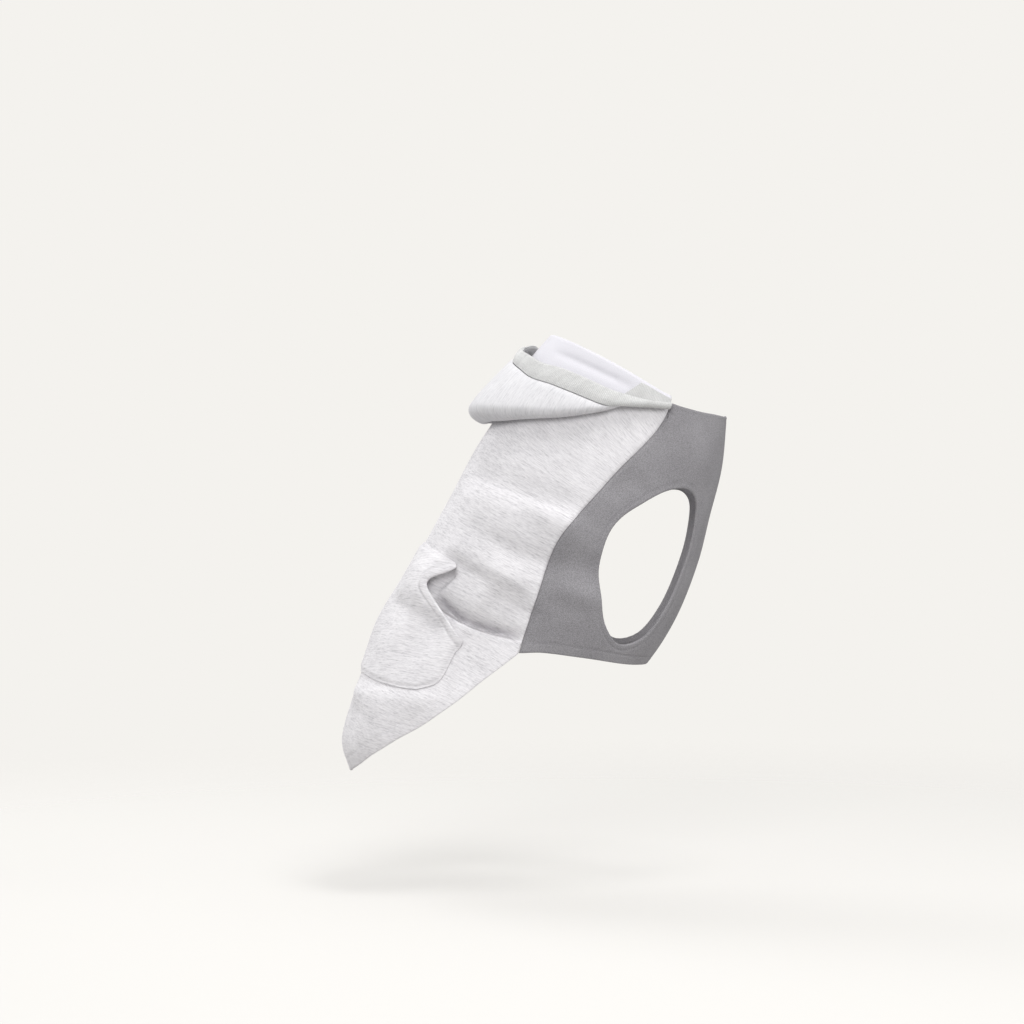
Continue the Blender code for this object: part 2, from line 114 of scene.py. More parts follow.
def smooth_read(keys, values, at):
    """Cubic reading of a table for many places at once. It goes through every row of the table."""
    keys, values, at = (np.asarray(item, float) for item in (keys, values, at))
    last = len(keys) - 1
    before = np.maximum(np.arange(last + 1) - 1, 0)
    after = np.minimum(np.arange(last + 1) + 1, last)
    slopes = (values[after] - values[before]) / (keys[after] - keys[before])
    i = np.clip(np.searchsorted(keys, at, side="right") - 1, 0, last - 1)
    step = keys[i + 1] - keys[i]
    t = (at - keys[i]) / step
    inside = (
        (2 * t**3 - 3 * t**2 + 1) * values[i] + (t**3 - 2 * t**2 + t) * step * slopes[i]
        + (3 * t**2 - 2 * t**3) * values[i + 1] + (t**3 - t**2) * step * slopes[i + 1]
    )
    low = values[0] + slopes[0] * (at - keys[0])
    high = values[last] + slopes[last] * (at - keys[last])
    return np.where(at <= keys[0], low, np.where(at >= keys[last], high, inside))


def read(rows, key, name, at):
    return smooth_read([getattr(row, key) for row in rows], [getattr(row, name) for row in rows], at)


def bare_form(angle, down):
    ring = {name: read(RINGS, "down", name, down) for name in Ring._fields[1:]}
    turn = np.radians(angle)
    across = (1 - np.cos(turn)) / 2
    return np.stack((
        ring["spine_x"] + (ring["belly_x"] - ring["spine_x"]) * across,
        -ring["half_width"] * np.sin(turn) * (1 + EGG * np.cos(turn)),
        ring["spine_z"] + (ring["belly_z"] - ring["spine_z"]) * across,
    ), axis=-1)


def outward(angle, down):
    """The form's normal, from a short step each way."""
    round_body = bare_form(angle + 0.5, down) - bare_form(angle - 0.5, down)
    along_body = bare_form(angle, down + 0.0005) - bare_form(angle, down - 0.0005)
    normal = np.cross(along_body, round_body)
    return normal / np.linalg.norm(normal, axis=-1, keepdims=True)


print("form drops, mm:", round(1000 * (RINGS[0].spine_z - RINGS[-1].spine_z)))

# %% [markdown]
# ## Folds
#
# Sweatshirt fleece is thick, so it lies in wide soft rolls, with one deep crease at the waist. A
# cloth simulation would need the body inside it. Instead, each fold is a line on the pattern with
# its own rise and its own width above and below the line. A hollow that is narrow above and very
# wide below is a step inwards. The waist has such a step, with a narrow slot at its foot.

# %% Fold table
Fold = namedtuple("Fold", "angle_a down_a angle_b down_b bow rise above below on_pocket")
FOLDS = table(
    Fold,
    # shoulder: a broad hollow with a clear lower side, and the roll below it
    (24, 0.16, 88, 0.1476, 0.001, -0.0038, 0.016, 0.0074, 1),
    (20, 0.183, 66, 0.175, 0, 0.0022, 0.009, 0.023, 1),
    # middle of the back, mostly towards the seam
    (60, 0.211, 90, 0.1995, 0.001, -0.0048, 0.0115, 0.015, 1),
    (38, 0.2085, 64, 0.2085, 0, -0.0019, 0.01, 0.0125, 1),
    (70, 0.166, 90, 0.157, 0, 0.0072, 0.013, 0.021, 1),
    # two steps inwards between the pocket's corner and the seam
    (38, 0.2455, 84, 0.2445, 0, -0.007, 0.0078, 0.12, 1),
    (68, 0.2545, 91, 0.2535, 0, -0.0066, 0.008, 0.12, 1),
    # waist: the roll's underside, and the slot from which the lower part comes out
    (42, 0.287, 94, 0.2795, 0.005, -0.0085, 0.014, 0.09, 1),
    (42, 0.2884, 91, 0.2815, 0.005, -0.016, 0.0064, 0.001, 0),
    (40, 0.286, 54, 0.29, 0, -0.0034, 0.007, 0.0026, 0),
    # the hollow in the panel behind each hand opening
    (43, 0.252, 35, 0.281, 0, -0.009, 0.0062, 0.0062, 0),
    # pocket, and the ridge and hollows of the tail below it
    (14, 0.308, 56, 0.3065, 0, -0.0056, 0.009, 0.056, 1),
    (12, 0.404, 75, 0.376, 0.008, 0.0046, 0.011, 0.024, 1),
    (10, 0.424, 34, 0.418, 0, -0.0022, 0.012, 0.011, 1),
    (44, 0.44, 62, 0.429, 0, 0.005, 0.03, 0.016, 1),
    # chest: a swell at the throat, a wrinkle, and a hollow and a ridge behind the leg
    (120, 0.044, 148, 0.05, 0, 0.0036, 0.018, 0.022, 1),
    (95, 0.116, 107, 0.091, 0, -0.0024, 0.0085, 0.016, 1),
    (94, 0.184, 110, 0.193, 0, -0.0052, 0.015, 0.015, 1),
    (93, 0.219, 112, 0.21, 0, 0.0034, 0.011, 0.011, 1),
)
LEFT_SHIFT = 0.006   # the left half's folds lie this much lower
LEFT_BLEND = 40.0    # degrees past the spine over which they move down


def fold_lift(angle, down, on_pocket=False):
    """How far the folds push the cloth out or let it in. The pocket bridges the narrow ones."""
    side = (angle + 180) % 360 - 180
    down = down - LEFT_SHIFT * smooth_step(-side / LEFT_BLEND)
    x = np.abs(side) * SPREAD
    lift = np.zeros_like(x)
    for fold in FOLDS:
        start = (fold.angle_a * SPREAD, fold.down_a)
        run = (fold.angle_b * SPREAD - start[0], fold.down_b - start[1])
        length = math.hypot(*run)
        along = ((x - start[0]) * run[0] + (down - start[1]) * run[1]) / length
        off = ((down - start[1]) * run[0] - (x - start[0]) * run[1]) / length
        share = along / length
        off = off - fold.bow * 4 * share * (1 - share)
        width = np.where(off < 0, fold.above, fold.below)
        ends = smooth_step(along / (2 * fold.above) + 0.5)
        ends = ends * smooth_step((length - along) / (2 * fold.above) + 0.5)
        rise = fold.rise * (fold.on_pocket if on_pocket else 1.0)
        lift = lift + rise * ends * np.exp(-((off / width) ** 2))
    return lift


def wrap(angle, down, lift, on_pocket=False):
    """Places on the pattern, carried to the worn form."""
    out = lift + fold_lift(angle, down, on_pocket)
    return bare_form(angle, down) + outward(angle, down) * out[..., None]


print("folds on each half:", len(FOLDS))

# %% [markdown]
# ## The pattern's edges
#
# Each panel ends at a seam or a hem. Their lines are short tables of places on the right half, as
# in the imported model, so the dressed pieces end where the solids end.

# %% Edge tables
Spot = namedtuple("Spot", "angle down")

NECK_EDGE = table(
    Spot, (0, 0.008), (45, 0.01), (60, 0.0112), (90, 0.0143), (110, 0.015), (130, 0.0105), (150, 0.005),
    (180, 0.0005),
)
SIDE_SEAM = table(
    Spot, (110, 0.015), (110.2, 0.024), (107.7, 0.041), (103.4, 0.061), (96.3, 0.092), (91.6, 0.119),
    (87.4, 0.146), (83.9, 0.175), (84, 0.197), (87.9, 0.236), (90.9, 0.258), (96.5, 0.291),
)
BACK_HEM = table(
    Spot, (96.5, 0.291), (92.5, 0.323), (87, 0.362), (82.1, 0.387), (76.3, 0.41), (68.3, 0.429),
    (58.4, 0.449), (42.6, 0.469), (28, 0.4795), (11, 0.4868),
)
BELLY_HEM = table(
    Spot, (96.5, 0.291), (104, 0.281), (117, 0.2706), (130.8, 0.2617), (149.4, 0.253), (165, 0.247),
    (180, 0.244),
)
ARMHOLE = table(
    Spot, (112, 0.113), (123, 0.0905), (136, 0.0795), (147, 0.087), (151.5, 0.112), (152.5, 0.15),
    (151.5, 0.19), (147, 0.222), (135, 0.2385), (122, 0.229), (112.5, 0.207), (105.5, 0.182),
    (103, 0.156), (105, 0.134),
)
ARMHOLE_CORNERS = (0, 3, 7, 10, 14)
NECK_TOP = 0.008     # the neck edge at the spine
NECK_FADE = 0.090    # rows follow the neck edge above this and the rings below it
HEM_CORNER = 0.291
TAIL_TIP = 0.488
CENTRE_FRONT = 180.0


def down_at(edge, angle):
    return read(edge, "angle", "down", angle)


def angle_at(edge, down):
    return read(edge, "down", "angle", down)


def follow_neck(down, angle):
    fade = 1 - smooth_step((down - NECK_TOP) / (NECK_FADE - NECK_TOP))
    return down + (down_at(NECK_EDGE, angle) - NECK_TOP) * fade


def seam_spots(downs):
    """The side seam's places for rows of the back panel."""
    row_downs = follow_neck(downs, SIDE_SEAM[0].angle)
    return angle_at(SIDE_SEAM, row_downs), row_downs


def closed_curve(spots, at):
    """A smooth closed curve through the spots. at counts spots round it."""
    angles = np.array([spot.angle for spot in spots])
    downs = np.array([spot.down for spot in spots])
    i = np.floor(at).astype(int)
    t = at - i
    blend = (
        (-t + 2 * t**2 - t**3) / 2, (2 - 5 * t**2 + 3 * t**3) / 2,
        (t + 4 * t**2 - 3 * t**3) / 2, (t**3 - t**2) / 2,
    )
    four = [(i + k) % len(spots) for k in (-1, 0, 1, 2)]
    return tuple(sum(b * values[k] for b, k in zip(blend, four)) for values in (angles, downs))


print("spots round a leg opening:", len(ARMHOLE))

# %% [markdown]
# ## Cutting cloth in Blender
#
# A tailor cuts flat and then shapes, and so does this cell. `lay` puts a grid on the flat pattern,
# `double` extrudes it once into an inner and an outer face with a closed rim, and `sew` carries
# every point to its place. It also keeps each point's place on the pattern as an attribute called
# grain, so that a knit runs with the cloth and not with the room.

# %% Cloth helpers
MERGE = 0.00001


def lay(columns, rows, place, closed=False):
    """A flat grid. place gives two pattern numbers for arrays of columns and rows."""
    cloth = bmesh.new()
    bmesh.ops.create_grid(cloth, x_segments=columns, y_segments=rows, size=0.5)
    at = np.array([vert.co for vert in cloth.verts])
    i = np.rint((at[:, 0] + 0.5) * columns).astype(int)
    j = np.rint((at[:, 1] + 0.5) * rows).astype(int)
    across, along = place(i % columns if closed else i, j)
    for vert, x, y in zip(cloth.verts, across, along):
        vert.co = (x, y, 0.0)
    if closed:
        bmesh.ops.remove_doubles(cloth, verts=cloth.verts, dist=MERGE)
    return cloth


def double(cloth):
    """Extrude the flat cloth into a closed wall. Gives both pattern numbers and which face, 0 or 1."""
    grown = bmesh.ops.extrude_face_region(cloth, geom=cloth.faces[:], use_keep_orig=True)
    for item in grown["geom"]:
        if isinstance(item, bmesh.types.BMVert):
            item.co.z = 1.0
    bmesh.ops.recalc_face_normals(cloth, faces=cloth.faces)
    at = np.array([vert.co for vert in cloth.verts])
    return at[:, 0], at[:, 1], at[:, 2]


def add_object(name, data):
    made = bpy.data.objects.new(name, data)
    bpy.context.scene.collection.objects.link(made)
    return made


def add_piece(name, cloth):
    mesh = bpy.data.meshes.new(name)
    cloth.to_mesh(mesh)
    cloth.free()
    mesh.shade_smooth()
    return add_object(name, mesh)


def sew(name, cloth, places, grain):
    for vert, place in zip(cloth.verts, places):
        vert.co = place
    if cloth.calc_volume(signed=True) < 0:
        bmesh.ops.reverse_faces(cloth, faces=cloth.faces)
    piece = add_piece(name, cloth)
    kept = piece.data.attributes.new("grain", "FLOAT_VECTOR", "POINT")
    kept.data.foreach_set("vector", np.ascontiguousarray(grain, float).ravel())
    print(f"{name}: {len(piece.data.polygons)} faces")
    return piece


def sew_panel(name, cloth, faces, courses, on_pocket=False, degree=1.0):
    """Double a flat panel and lift its sides off the form. courses gives the grain's second number."""
    x, down, side = double(cloth)
    angle = x / degree
    low, high = faces(angle, down)
    places = wrap(angle, down, np.where(side > 0.5, high, low), on_pocket)
    grain = np.stack((angle * GRAIN_WIDTH, courses(angle, down), side * WALL), axis=-1)
    return sew(name, cloth, places, grain)


def away_from(line, points):
    """Real distance of each point from a line, which is an array of close points."""
    tree = KDTree(len(line))
    for index, point in enumerate(line):
        tree.insert(point, index)
    tree.balance()
    return np.array([tree.find(point)[2] for point in points])


# %% [markdown]
# ## Hems and seams in section
#
# A sewn edge isn't a sharp cut. A hem is the cloth turned up once and stitched, so its wall is
# double up to the stitches, its fold is round, and the thread pulls a small groove. At a seam both
# panels turn inwards to their stitches. Bevels could only round the corner, so these profiles are
# worked out from each point's distance to the edge.

# %% Profiles across an edge
SEAM_DIP = 0.0017
SEAM_DIP_WIDTH = 0.0020
GROOVE = 0.0005
GROOVE_WIDTH = 0.0010
TURN_FADE = 0.0016   # a hem's double part ends over this distance
LEAST_ROUND = 0.04


def bump_at(distance, at, width):
    return np.exp(-(((distance - at) / width) ** 2))


def hem_share(distance, depth):
    """1 on the turned-up part of a hem, 0 past it."""
    return smooth_step((depth - distance) / TURN_FADE + 0.5)


def round_edge(inner, outer, distance):
    """Let the two faces meet in a half circle at a free edge."""
    middle = (inner + outer) / 2
    half = (outer - inner) / 2
    near = np.clip(distance / half, LEAST_ROUND, 1)
    half = half * np.sqrt(1 - (1 - near) ** 2)
    return middle - half, middle + half


def edge_steps(count, reach):
    """Shares from 0 to 1 which start very close together, as a round edge needs."""
    start = np.array((0.0, 0.0003, 0.0009, 0.0018, 0.0030, 0.0046))
    start = start[start < reach / 3] / reach
    return np.concatenate((start, np.linspace(start[-1], 1, count + 1)[1:]))


def both_ends(near):
    """Shares from 0 to 1, from those of the first half."""
    return np.concatenate((near, 1 - near[:-1][::-1]))


def both_ways(count, reach):
    """Shares from -1 to 1 which are close together at both."""
    half = 1 - edge_steps(count, reach)
    return np.concatenate((-half, half[:-1][::-1]))


# %% [markdown]
# ## Back panel
#
# The largest piece: heather fleece from the neck seam to a round tail. It is sewn to the hood along
# the neck and to the chest panel down to the hem corner, and has a turned-up hem from there round
# the tail. One smooth grid covers it, with rows closer together at the crease and the hem.

# %% Back panel
BACK_HEM_DEPTH = 0.014
BACK_STITCHES = 0.012
CREASE_TOP, CREASE_END = 0.262, 0.302   # rows lie closer together between these
TURNED_FLEECE = 0.8                     # thickness of the hem's turned-up layer, in walls
STREAK_SLANT = 0.42


def both_sides(angles, downs):
    return bare_form(np.concatenate((-angles, angles)), np.concatenate((downs, downs)))


HALF_GAP = SEAM_GAP / 2 / SPREAD   # half the gap at the side seam, in degrees
TAIL_SIDE = BACK_HEM[-1].down
SEAM_LINE = both_sides(*seam_spots(np.linspace(NECK_TOP, HEM_CORNER, 1200)))
NECK_ANGLES = np.linspace(-180, 180, 2400)
NECK_LINE = bare_form(NECK_ANGLES, down_at(NECK_EDGE, np.abs(NECK_ANGLES)))
HEM_DOWNS = np.linspace(HEM_CORNER, TAIL_SIDE, 1000)


def back_place(share, down):
    """share runs from -1 to 1 between the side edges, down over the row's place at the spine."""
    seam_angle, _ = seam_spots(down)
    upper = share * (seam_angle - HALF_GAP)
    progress = smooth_step((down - HEM_CORNER) / (TAIL_SIDE - HEM_CORNER))
    tip = (TAIL_TIP - TAIL_SIDE) * (1 - share**2) * progress
    angle = np.where(down <= HEM_CORNER, upper, share * angle_at(BACK_HEM, down))
    return angle, np.where(down <= HEM_CORNER, follow_neck(down, np.abs(upper)), down + tip)


def hem_line():
    """The free edge of the back panel, from corner to corner round the tail."""
    angle, down = back_place(1.0, HEM_DOWNS)
    tip = back_place(np.linspace(-1, 1, 200), TAIL_SIDE)
    return np.concatenate((both_sides(angle, down), bare_form(*tip)))


HEM_LINE = hem_line()


def back_courses(angle, down):
    """Near the neck the panel is turned, so its streaks run down towards the front there."""
    off_spine = np.clip(np.abs(angle) - 25, 0, None) * GRAIN_WIDTH
    return down - STREAK_SLANT * smooth_step((0.17 - down) / 0.12) * off_spine


def back_faces(angle, down):
    """How far the inner and the outer face of the back panel lie off the form."""
    bare = bare_form(angle, down)
    from_hem, from_seam = away_from(HEM_LINE, bare), away_from(SEAM_LINE, bare)
    from_neck = away_from(NECK_LINE, bare)
    dip = SEAM_DIP * (bump_at(from_seam, 0, SEAM_DIP_WIDTH) + bump_at(from_neck, 0, SEAM_DIP_WIDTH))
    low = -WALL * TURNED_FLEECE * hem_share(from_hem, BACK_HEM_DEPTH) - dip
    high = WALL - GROOVE * bump_at(from_hem, BACK_STITCHES, GROOVE_WIDTH) - dip
    return round_edge(low, high, np.minimum(from_hem, from_seam))


def back_panel():
    shares = both_ways(58, 0.16)
    upper = NECK_TOP + (CREASE_TOP - NECK_TOP) * edge_steps(118, CREASE_TOP)
    waist = np.linspace(CREASE_TOP, HEM_CORNER, 44)[1:]
    corner = np.linspace(HEM_CORNER, CREASE_END, 15)[1:]
    tail = CREASE_END + (TAIL_SIDE - CREASE_END) * (1 - edge_steps(88, 0.19) ** 1.1)[::-1]
    downs = np.concatenate((upper, waist, corner, tail[1:]))
    cloth = lay(len(shares) - 1, len(downs) - 1, lambda i, j: back_place(shares[i], downs[j]))
    return sew_panel("back_panel_cloth", cloth, back_faces, back_courses)


back = back_panel()

# %% [markdown]
# ## Chest panel
#
# Plain grey jersey closes the tube under the chest. The leg openings, the neck edge and the belly
# edge have narrow turned hems. The grid runs round each leg opening, so that a round hem stays
# smooth there.

# %% Chest panel
ARMHOLE_HEM = 0.007
LEG_STITCHES = 0.0055
BELLY_HEM_DEPTH = 0.012
BELLY_STITCHES = 0.010
FRONT_HEM = 0.006
FRONT_STITCHES = 0.0045
TURNED_JERSEY = 0.7
CHEST_HALF_ROWS = 17
NECK_STEPS, FRONT_STEPS, BELLY_STEPS, SEAM_STEPS = 56, 110, 60, 140


def chest_outline():
    """The right half's outer edge: neck, centre front, belly hem and side seam, end to end."""
    seam_angle, seam_down = seam_spots(np.linspace(NECK_TOP, HEM_CORNER, SEAM_STEPS + 1))
    seam_angle = seam_angle + HALF_GAP
    neck = np.linspace(seam_angle[0], CENTRE_FRONT, NECK_STEPS + 1)
    front = np.linspace(NECK_EDGE[-1].down, BELLY_HEM[-1].down, FRONT_STEPS + 1)
    hem = np.linspace(CENTRE_FRONT, seam_angle[-1], BELLY_STEPS + 1)
    return (
        (neck, down_at(NECK_EDGE, neck)), (np.full_like(front, CENTRE_FRONT), front),
        (hem, down_at(BELLY_HEM, hem)), (seam_angle[::-1], seam_down[::-1]),
    )


ARMHOLE_LINE = both_sides(*closed_curve(ARMHOLE, np.linspace(0, len(ARMHOLE), 900, endpoint=False)))
BELLY_ANGLES = np.linspace(BELLY_HEM[0].angle, CENTRE_FRONT, 700)
BELLY_LINE = both_sides(BELLY_ANGLES, down_at(BELLY_HEM, BELLY_ANGLES))


def chest_faces(angle, down):
    bare = bare_form(angle, down)
    from_leg, from_belly = away_from(ARMHOLE_LINE, bare), away_from(BELLY_LINE, bare)
    from_neck, from_seam = away_from(NECK_LINE, bare), away_from(SEAM_LINE, bare)
    hems = (
        (from_leg, ARMHOLE_HEM, LEG_STITCHES), (from_belly, BELLY_HEM_DEPTH, BELLY_STITCHES),
        (from_neck, FRONT_HEM, FRONT_STITCHES),
    )
    turned = np.max([hem_share(off, depth) for off, depth, _ in hems], axis=0)
    grooves = sum(bump_at(off, stitches, GROOVE_WIDTH) for off, _, stitches in hems)
    dip = SEAM_DIP * bump_at(from_seam, 0, SEAM_DIP_WIDTH)
    low = -WALL * TURNED_JERSEY * turned - dip
    high = WALL - GROOVE * grooves - dip
    return round_edge(low, high, np.min((from_leg, from_belly, from_neck, from_seam), axis=0))


def chest_panel():
    sides = chest_outline()
    outer = np.concatenate([np.stack(side)[:, :-1] for side in sides], axis=1)
    corners = zip(sides, ARMHOLE_CORNERS, ARMHOLE_CORNERS[1:])
    at = [np.linspace(first, last, len(side[0]))[:-1] for side, first, last in corners]
    inner = np.stack(closed_curve(ARMHOLE, np.concatenate(at)))
    shares = both_ends(edge_steps(CHEST_HALF_ROWS, 0.06) / 2)

    def place(i, j):
        at = inner[:, i] + (outer[:, i] - inner[:, i]) * shares[j]
        return at[0] * SPREAD, at[1]

    cloth = lay(outer.shape[1], len(shares) - 1, place, closed=True)
    fold_line = Matrix.Translation((CENTRE_FRONT * SPREAD, 0, 0)).inverted()
    right = cloth.verts[:] + cloth.edges[:] + cloth.faces[:]
    bmesh.ops.mirror(cloth, geom=right, matrix=fold_line, merge_dist=MERGE, axis="X")
    bmesh.ops.remove_doubles(cloth, verts=cloth.verts, dist=MERGE)
    courses = lambda angle, down: down
    return sew_panel("chest_panel_cloth", cloth, chest_faces, courses, degree=SPREAD)


chest = chest_panel()

# %% [markdown]
# ## Hood
#
# Worn down, a hood is a bag. From its seam on the neck edge it rolls over, hangs down the nape,
# turns in a soft fold and comes up again to its mouth. Each angle round the neck has one section
# like that, as a path of points, and the path's length says where the rib band starts. Two halves
# meet in a seam over the middle, each with its own lining.

# %% Sections of the hood
Bag = namedtuple("Bag", "angle fold_down fold_rise mouth_down mouth_rise band_width")
BAG = table(
    Bag,
    (0, 0.1150, 0.0310, 0.0290, 0.0200, 0.0125),
    (25, 0.1060, 0.0295, 0.0320, 0.0195, 0.0156),
    (39, 0.0960, 0.0275, 0.0350, 0.0185, 0.0176),
    (50, 0.0860, 0.0250, 0.0345, 0.0175, 0.0184),
    (60, 0.0760, 0.0225, 0.0335, 0.0165, 0.0182),
    (68, 0.0660, 0.0200, 0.0330, 0.0155, 0.0178),
    (76, 0.0550, 0.0175, 0.0325, 0.0145, 0.0168),
    (84, 0.0430, 0.0150, 0.0300, 0.0130, 0.0154),
    (93, 0.0340, 0.0132, 0.0265, 0.0120, 0.0138),
    (102, 0.0270, 0.0122, 0.0215, 0.0112, 0.0128),
    (110, 0.0220, 0.0118, 0.0165, 0.0108, 0.0118),
)
ROLL_RISE = 0.0030
ROLL_RISE_AT_THROAT = 0.0010
ROLL_DROP_ANGLE = 75.0
ROLL_RADIUS = 0.0019
FOLD_DEPTH_SHARE = 0.78
FOLD_SQUARE = 0.82   # under 1, the bag is fuller at its lower corners than a half circle
HOOD_END = 108.6
MOUTH_SAG = 0.0045   # the mouth droops this much on the right of the spine, from 0 to 51 degrees
MOUTH_LIFT = 0.0100  # and stands up this much on the left of it, from 0 to 82 degrees
ROLL_SAMPLES = 24
FOLD_SAMPLES = 60
WALL_SAMPLES = 40
BEND_WEIGHT = 0.010
DIRECTION_REACH = 0.0008


def mouth_shift(angle):
    """The worn mouth isn't even: it sags on one side of the spine and stands up on the other."""
    sag = MOUTH_SAG * smooth_step(angle / 9) * smooth_step((51 - angle) / 22)
    return float(sag - MOUTH_LIFT * smooth_step(-angle / 20) * smooth_step((angle + 82) / 34))


def bag_path(angle):
    """The middle of the cloth's wall in one section, as (down, lift) points from seam to mouth."""
    side = abs(angle)
    bag = {name: float(read(BAG, "angle", name, side)) for name in Bag._fields[1:]}
    bag["mouth_down"] += mouth_shift(angle)
    neck = float(down_at(NECK_EDGE, side))
    low = WALL / 2
    nape = low + 2 * ROLL_RADIUS
    high = bag["fold_rise"] - WALL / 2
    fold_half = (high - nape) / 2
    fold_reach = FOLD_DEPTH_SHARE * fold_half
    turn_at = bag["fold_down"] - WALL / 2 - fold_reach
    sink = float(smooth_step((side - ROLL_DROP_ANGLE) / (HOOD_END - ROLL_DROP_ANGLE)))
    roll = neck - ROLL_RISE + (ROLL_RISE - ROLL_RISE_AT_THROAT) * sink
    turn = np.linspace(0, math.pi, ROLL_SAMPLES)
    rolled = (roll - ROLL_RADIUS * np.sin(turn), nape - ROLL_RADIUS * (1 + np.cos(turn)))
    nape_downs = np.linspace(roll, turn_at, WALL_SAMPLES)[1:-1]
    turn = np.linspace(0, math.pi, FOLD_SAMPLES)
    square = lambda value: np.sign(value) * np.abs(value) ** FOLD_SQUARE
    fold_lifts = nape + fold_half * (1 - square(np.cos(turn)))
    folded = (turn_at + fold_reach * square(np.sin(turn)), fold_lifts)
    share = np.linspace(0, 1, WALL_SAMPLES)[1:]
    risen = high + (bag["mouth_rise"] - WALL / 2 - high) * smooth_step(share)
    rising = turn_at + (bag["mouth_down"] - turn_at) * share
    downs = ((neck - SEAM_GAP,), rolled[0], nape_downs, folded[0], rising)
    lifts = ((low,), rolled[1], np.full_like(nape_downs, nape), folded[1], risen)
    return np.concatenate(downs), np.concatenate(lifts), bag["band_width"]


print("points in a section:", len(bag_path(0)[0]))

# %% Rows along a section
class Section:
    """One section with its length so far, and with bends counted in, so rows can crowd at bends."""
    kept = {}

    def __init__(self, angle):
        self.angle = angle
        self.downs, self.lifts, self.band_width = bag_path(angle)
        steps = np.hypot(np.diff(self.downs), np.diff(self.lifts))
        headings = np.arctan2(np.diff(self.lifts), np.diff(self.downs))
        bends = np.abs((np.diff(headings) + math.pi) % math.tau - math.pi)
        self.lengths = np.concatenate(((0,), np.cumsum(steps)))
        weights = np.cumsum(steps + BEND_WEIGHT * np.concatenate(((0,), bends)))
        self.weights = np.concatenate(((0,), weights))
        self.band_start = self.lengths[-1] - self.band_width

    @classmethod
    def at(cls, angle):
        key = round(float(angle), 5)
        if key not in cls.kept:
            cls.kept[key] = cls(key)
        return cls.kept[key]

    def rows(self, start, stop, shares):
        """Lengths from start to stop, closer together where the section bends."""
        first, last = np.interp((start, stop), self.lengths, self.weights)
        return np.interp(first + (last - first) * shares, self.weights, self.lengths)

    def point(self, length, off):
        """(down, lift) at a length along the section and an offset towards the outside cloth."""
        read_at = lambda at: [np.interp(at, self.lengths, values) for values in (self.downs, self.lifts)]
        (d0, l0), (d1, l1) = read_at(length - DIRECTION_REACH), read_at(length + DIRECTION_REACH)
        run = np.hypot(d1 - d0, l1 - l0)
        down, lift = read_at(length)
        return down + off * (l1 - l0) / run, lift - off * (d1 - d0) / run

    def on_nape(self, down):
        """The length at which the nape wall reaches a distance down."""
        wall = slice(ROLL_SAMPLES, ROLL_SAMPLES + WALL_SAMPLES)
        return float(np.interp(down, self.downs[wall], self.lengths[wall]))


for angle in (0, 50, 100):
    print("section at", angle, "degrees, mm:", round(1000 * Section.at(angle).lengths[-1]))

# %% Cloth on the sections
def carry_hood(angles, lengths, i, j, off):
    """Places on the hood for grid columns i and rows j, with the row lengths of each column."""
    down, lift = np.empty_like(off), np.empty_like(off)
    for column, angle in enumerate(angles):
        here = i == column
        down[here], lift[here] = Section.at(angle).point(lengths[column][j[here]], off[here])
    angle = np.asarray(angles)[i]
    return bare_form(angle, down) + outward(angle, down) * lift[:, None]


def hood_cloth(name, angles, shares, stretch, faces, grain_turn=False):
    """One piece of the hood. faces gives the two offsets from arrays of angle, length and stretch."""
    spans = [stretch(Section.at(angle)) for angle in angles]
    lengths = [Section.at(angle).rows(*span, shares) for angle, span in zip(angles, spans)]
    cloth = lay(len(angles) - 1, len(shares) - 1, lambda i, j: (i.astype(float), j.astype(float)))
    i, j, side = double(cloth)
    i, j = np.rint(i).astype(int), np.rint(j).astype(int)
    length = np.array(lengths)[i, j]
    start, stop = np.array(spans)[i].T
    angle = np.asarray(angles)[i]
    inner, outer = faces(angle, length, start, stop)
    places = carry_hood(angles, lengths, i, j, np.where(side > 0.5, outer, inner))
    around = angle * HOOD_WIDTH
    run = (length, around) if grain_turn else (around, length)
    return sew(name, cloth, places, np.stack((*run, side * WALL), axis=-1))


# %% [markdown]
# ## Hood halves and lining
#
# The outside is heather fleece. The lining is thin white jersey, which shows as a bright strip
# between the neck and the mouth, with a shallow crease along the neck. Both dip where they are
# sewn. A lining could be the shell's copy, moved inwards. Here it is laid on the same sections at
# its own distance, which keeps the gap even round the tight folds.

# %% Hood halves
HOOD_SPLIT = 0.1
CREASE_DEPTH = 0.0018
CREASE_WIDTH = 0.0038
CREASE_DOWN = 0.0196
BAND_SEAM_WIDTH = 0.0034
BAND_SEAM_SHARE = 0.9    # depth of the dip at the band, in seam dips
LINING_DIP = 0.0007
EDGE_START = 0.0002      # a sewn edge is rounded as if it lay this much further out
SIGNS = {"right": 1, "left": -1}


def lining_crease(angle, length):
    """A shallow trough in the nape wall, which fades towards the spine and the throat."""
    side = np.abs(angle)
    ends = smooth_step((side - 26) / 18) * smooth_step((92 - side) / 16)
    at = CREASE_DOWN - down_at(NECK_EDGE, side) + 2 * ROLL_RISE + math.pi * ROLL_RADIUS
    return CREASE_DEPTH * ends * bump_at(length, at, CREASE_WIDTH)


def shell_faces(angle, length, start, stop):
    centre = np.abs(angle) * HOOD_WIDTH
    at_band = bump_at(stop - length, 0, BAND_SEAM_WIDTH)
    dip = SEAM_DIP * (bump_at(centre, 0, SEAM_DIP_WIDTH) + BAND_SEAM_SHARE * at_band)
    middle = lining_crease(angle, length) - dip
    near = np.minimum(stop - length, centre) + EDGE_START
    return round_edge(middle - WALL / 2, middle + WALL / 2, near)


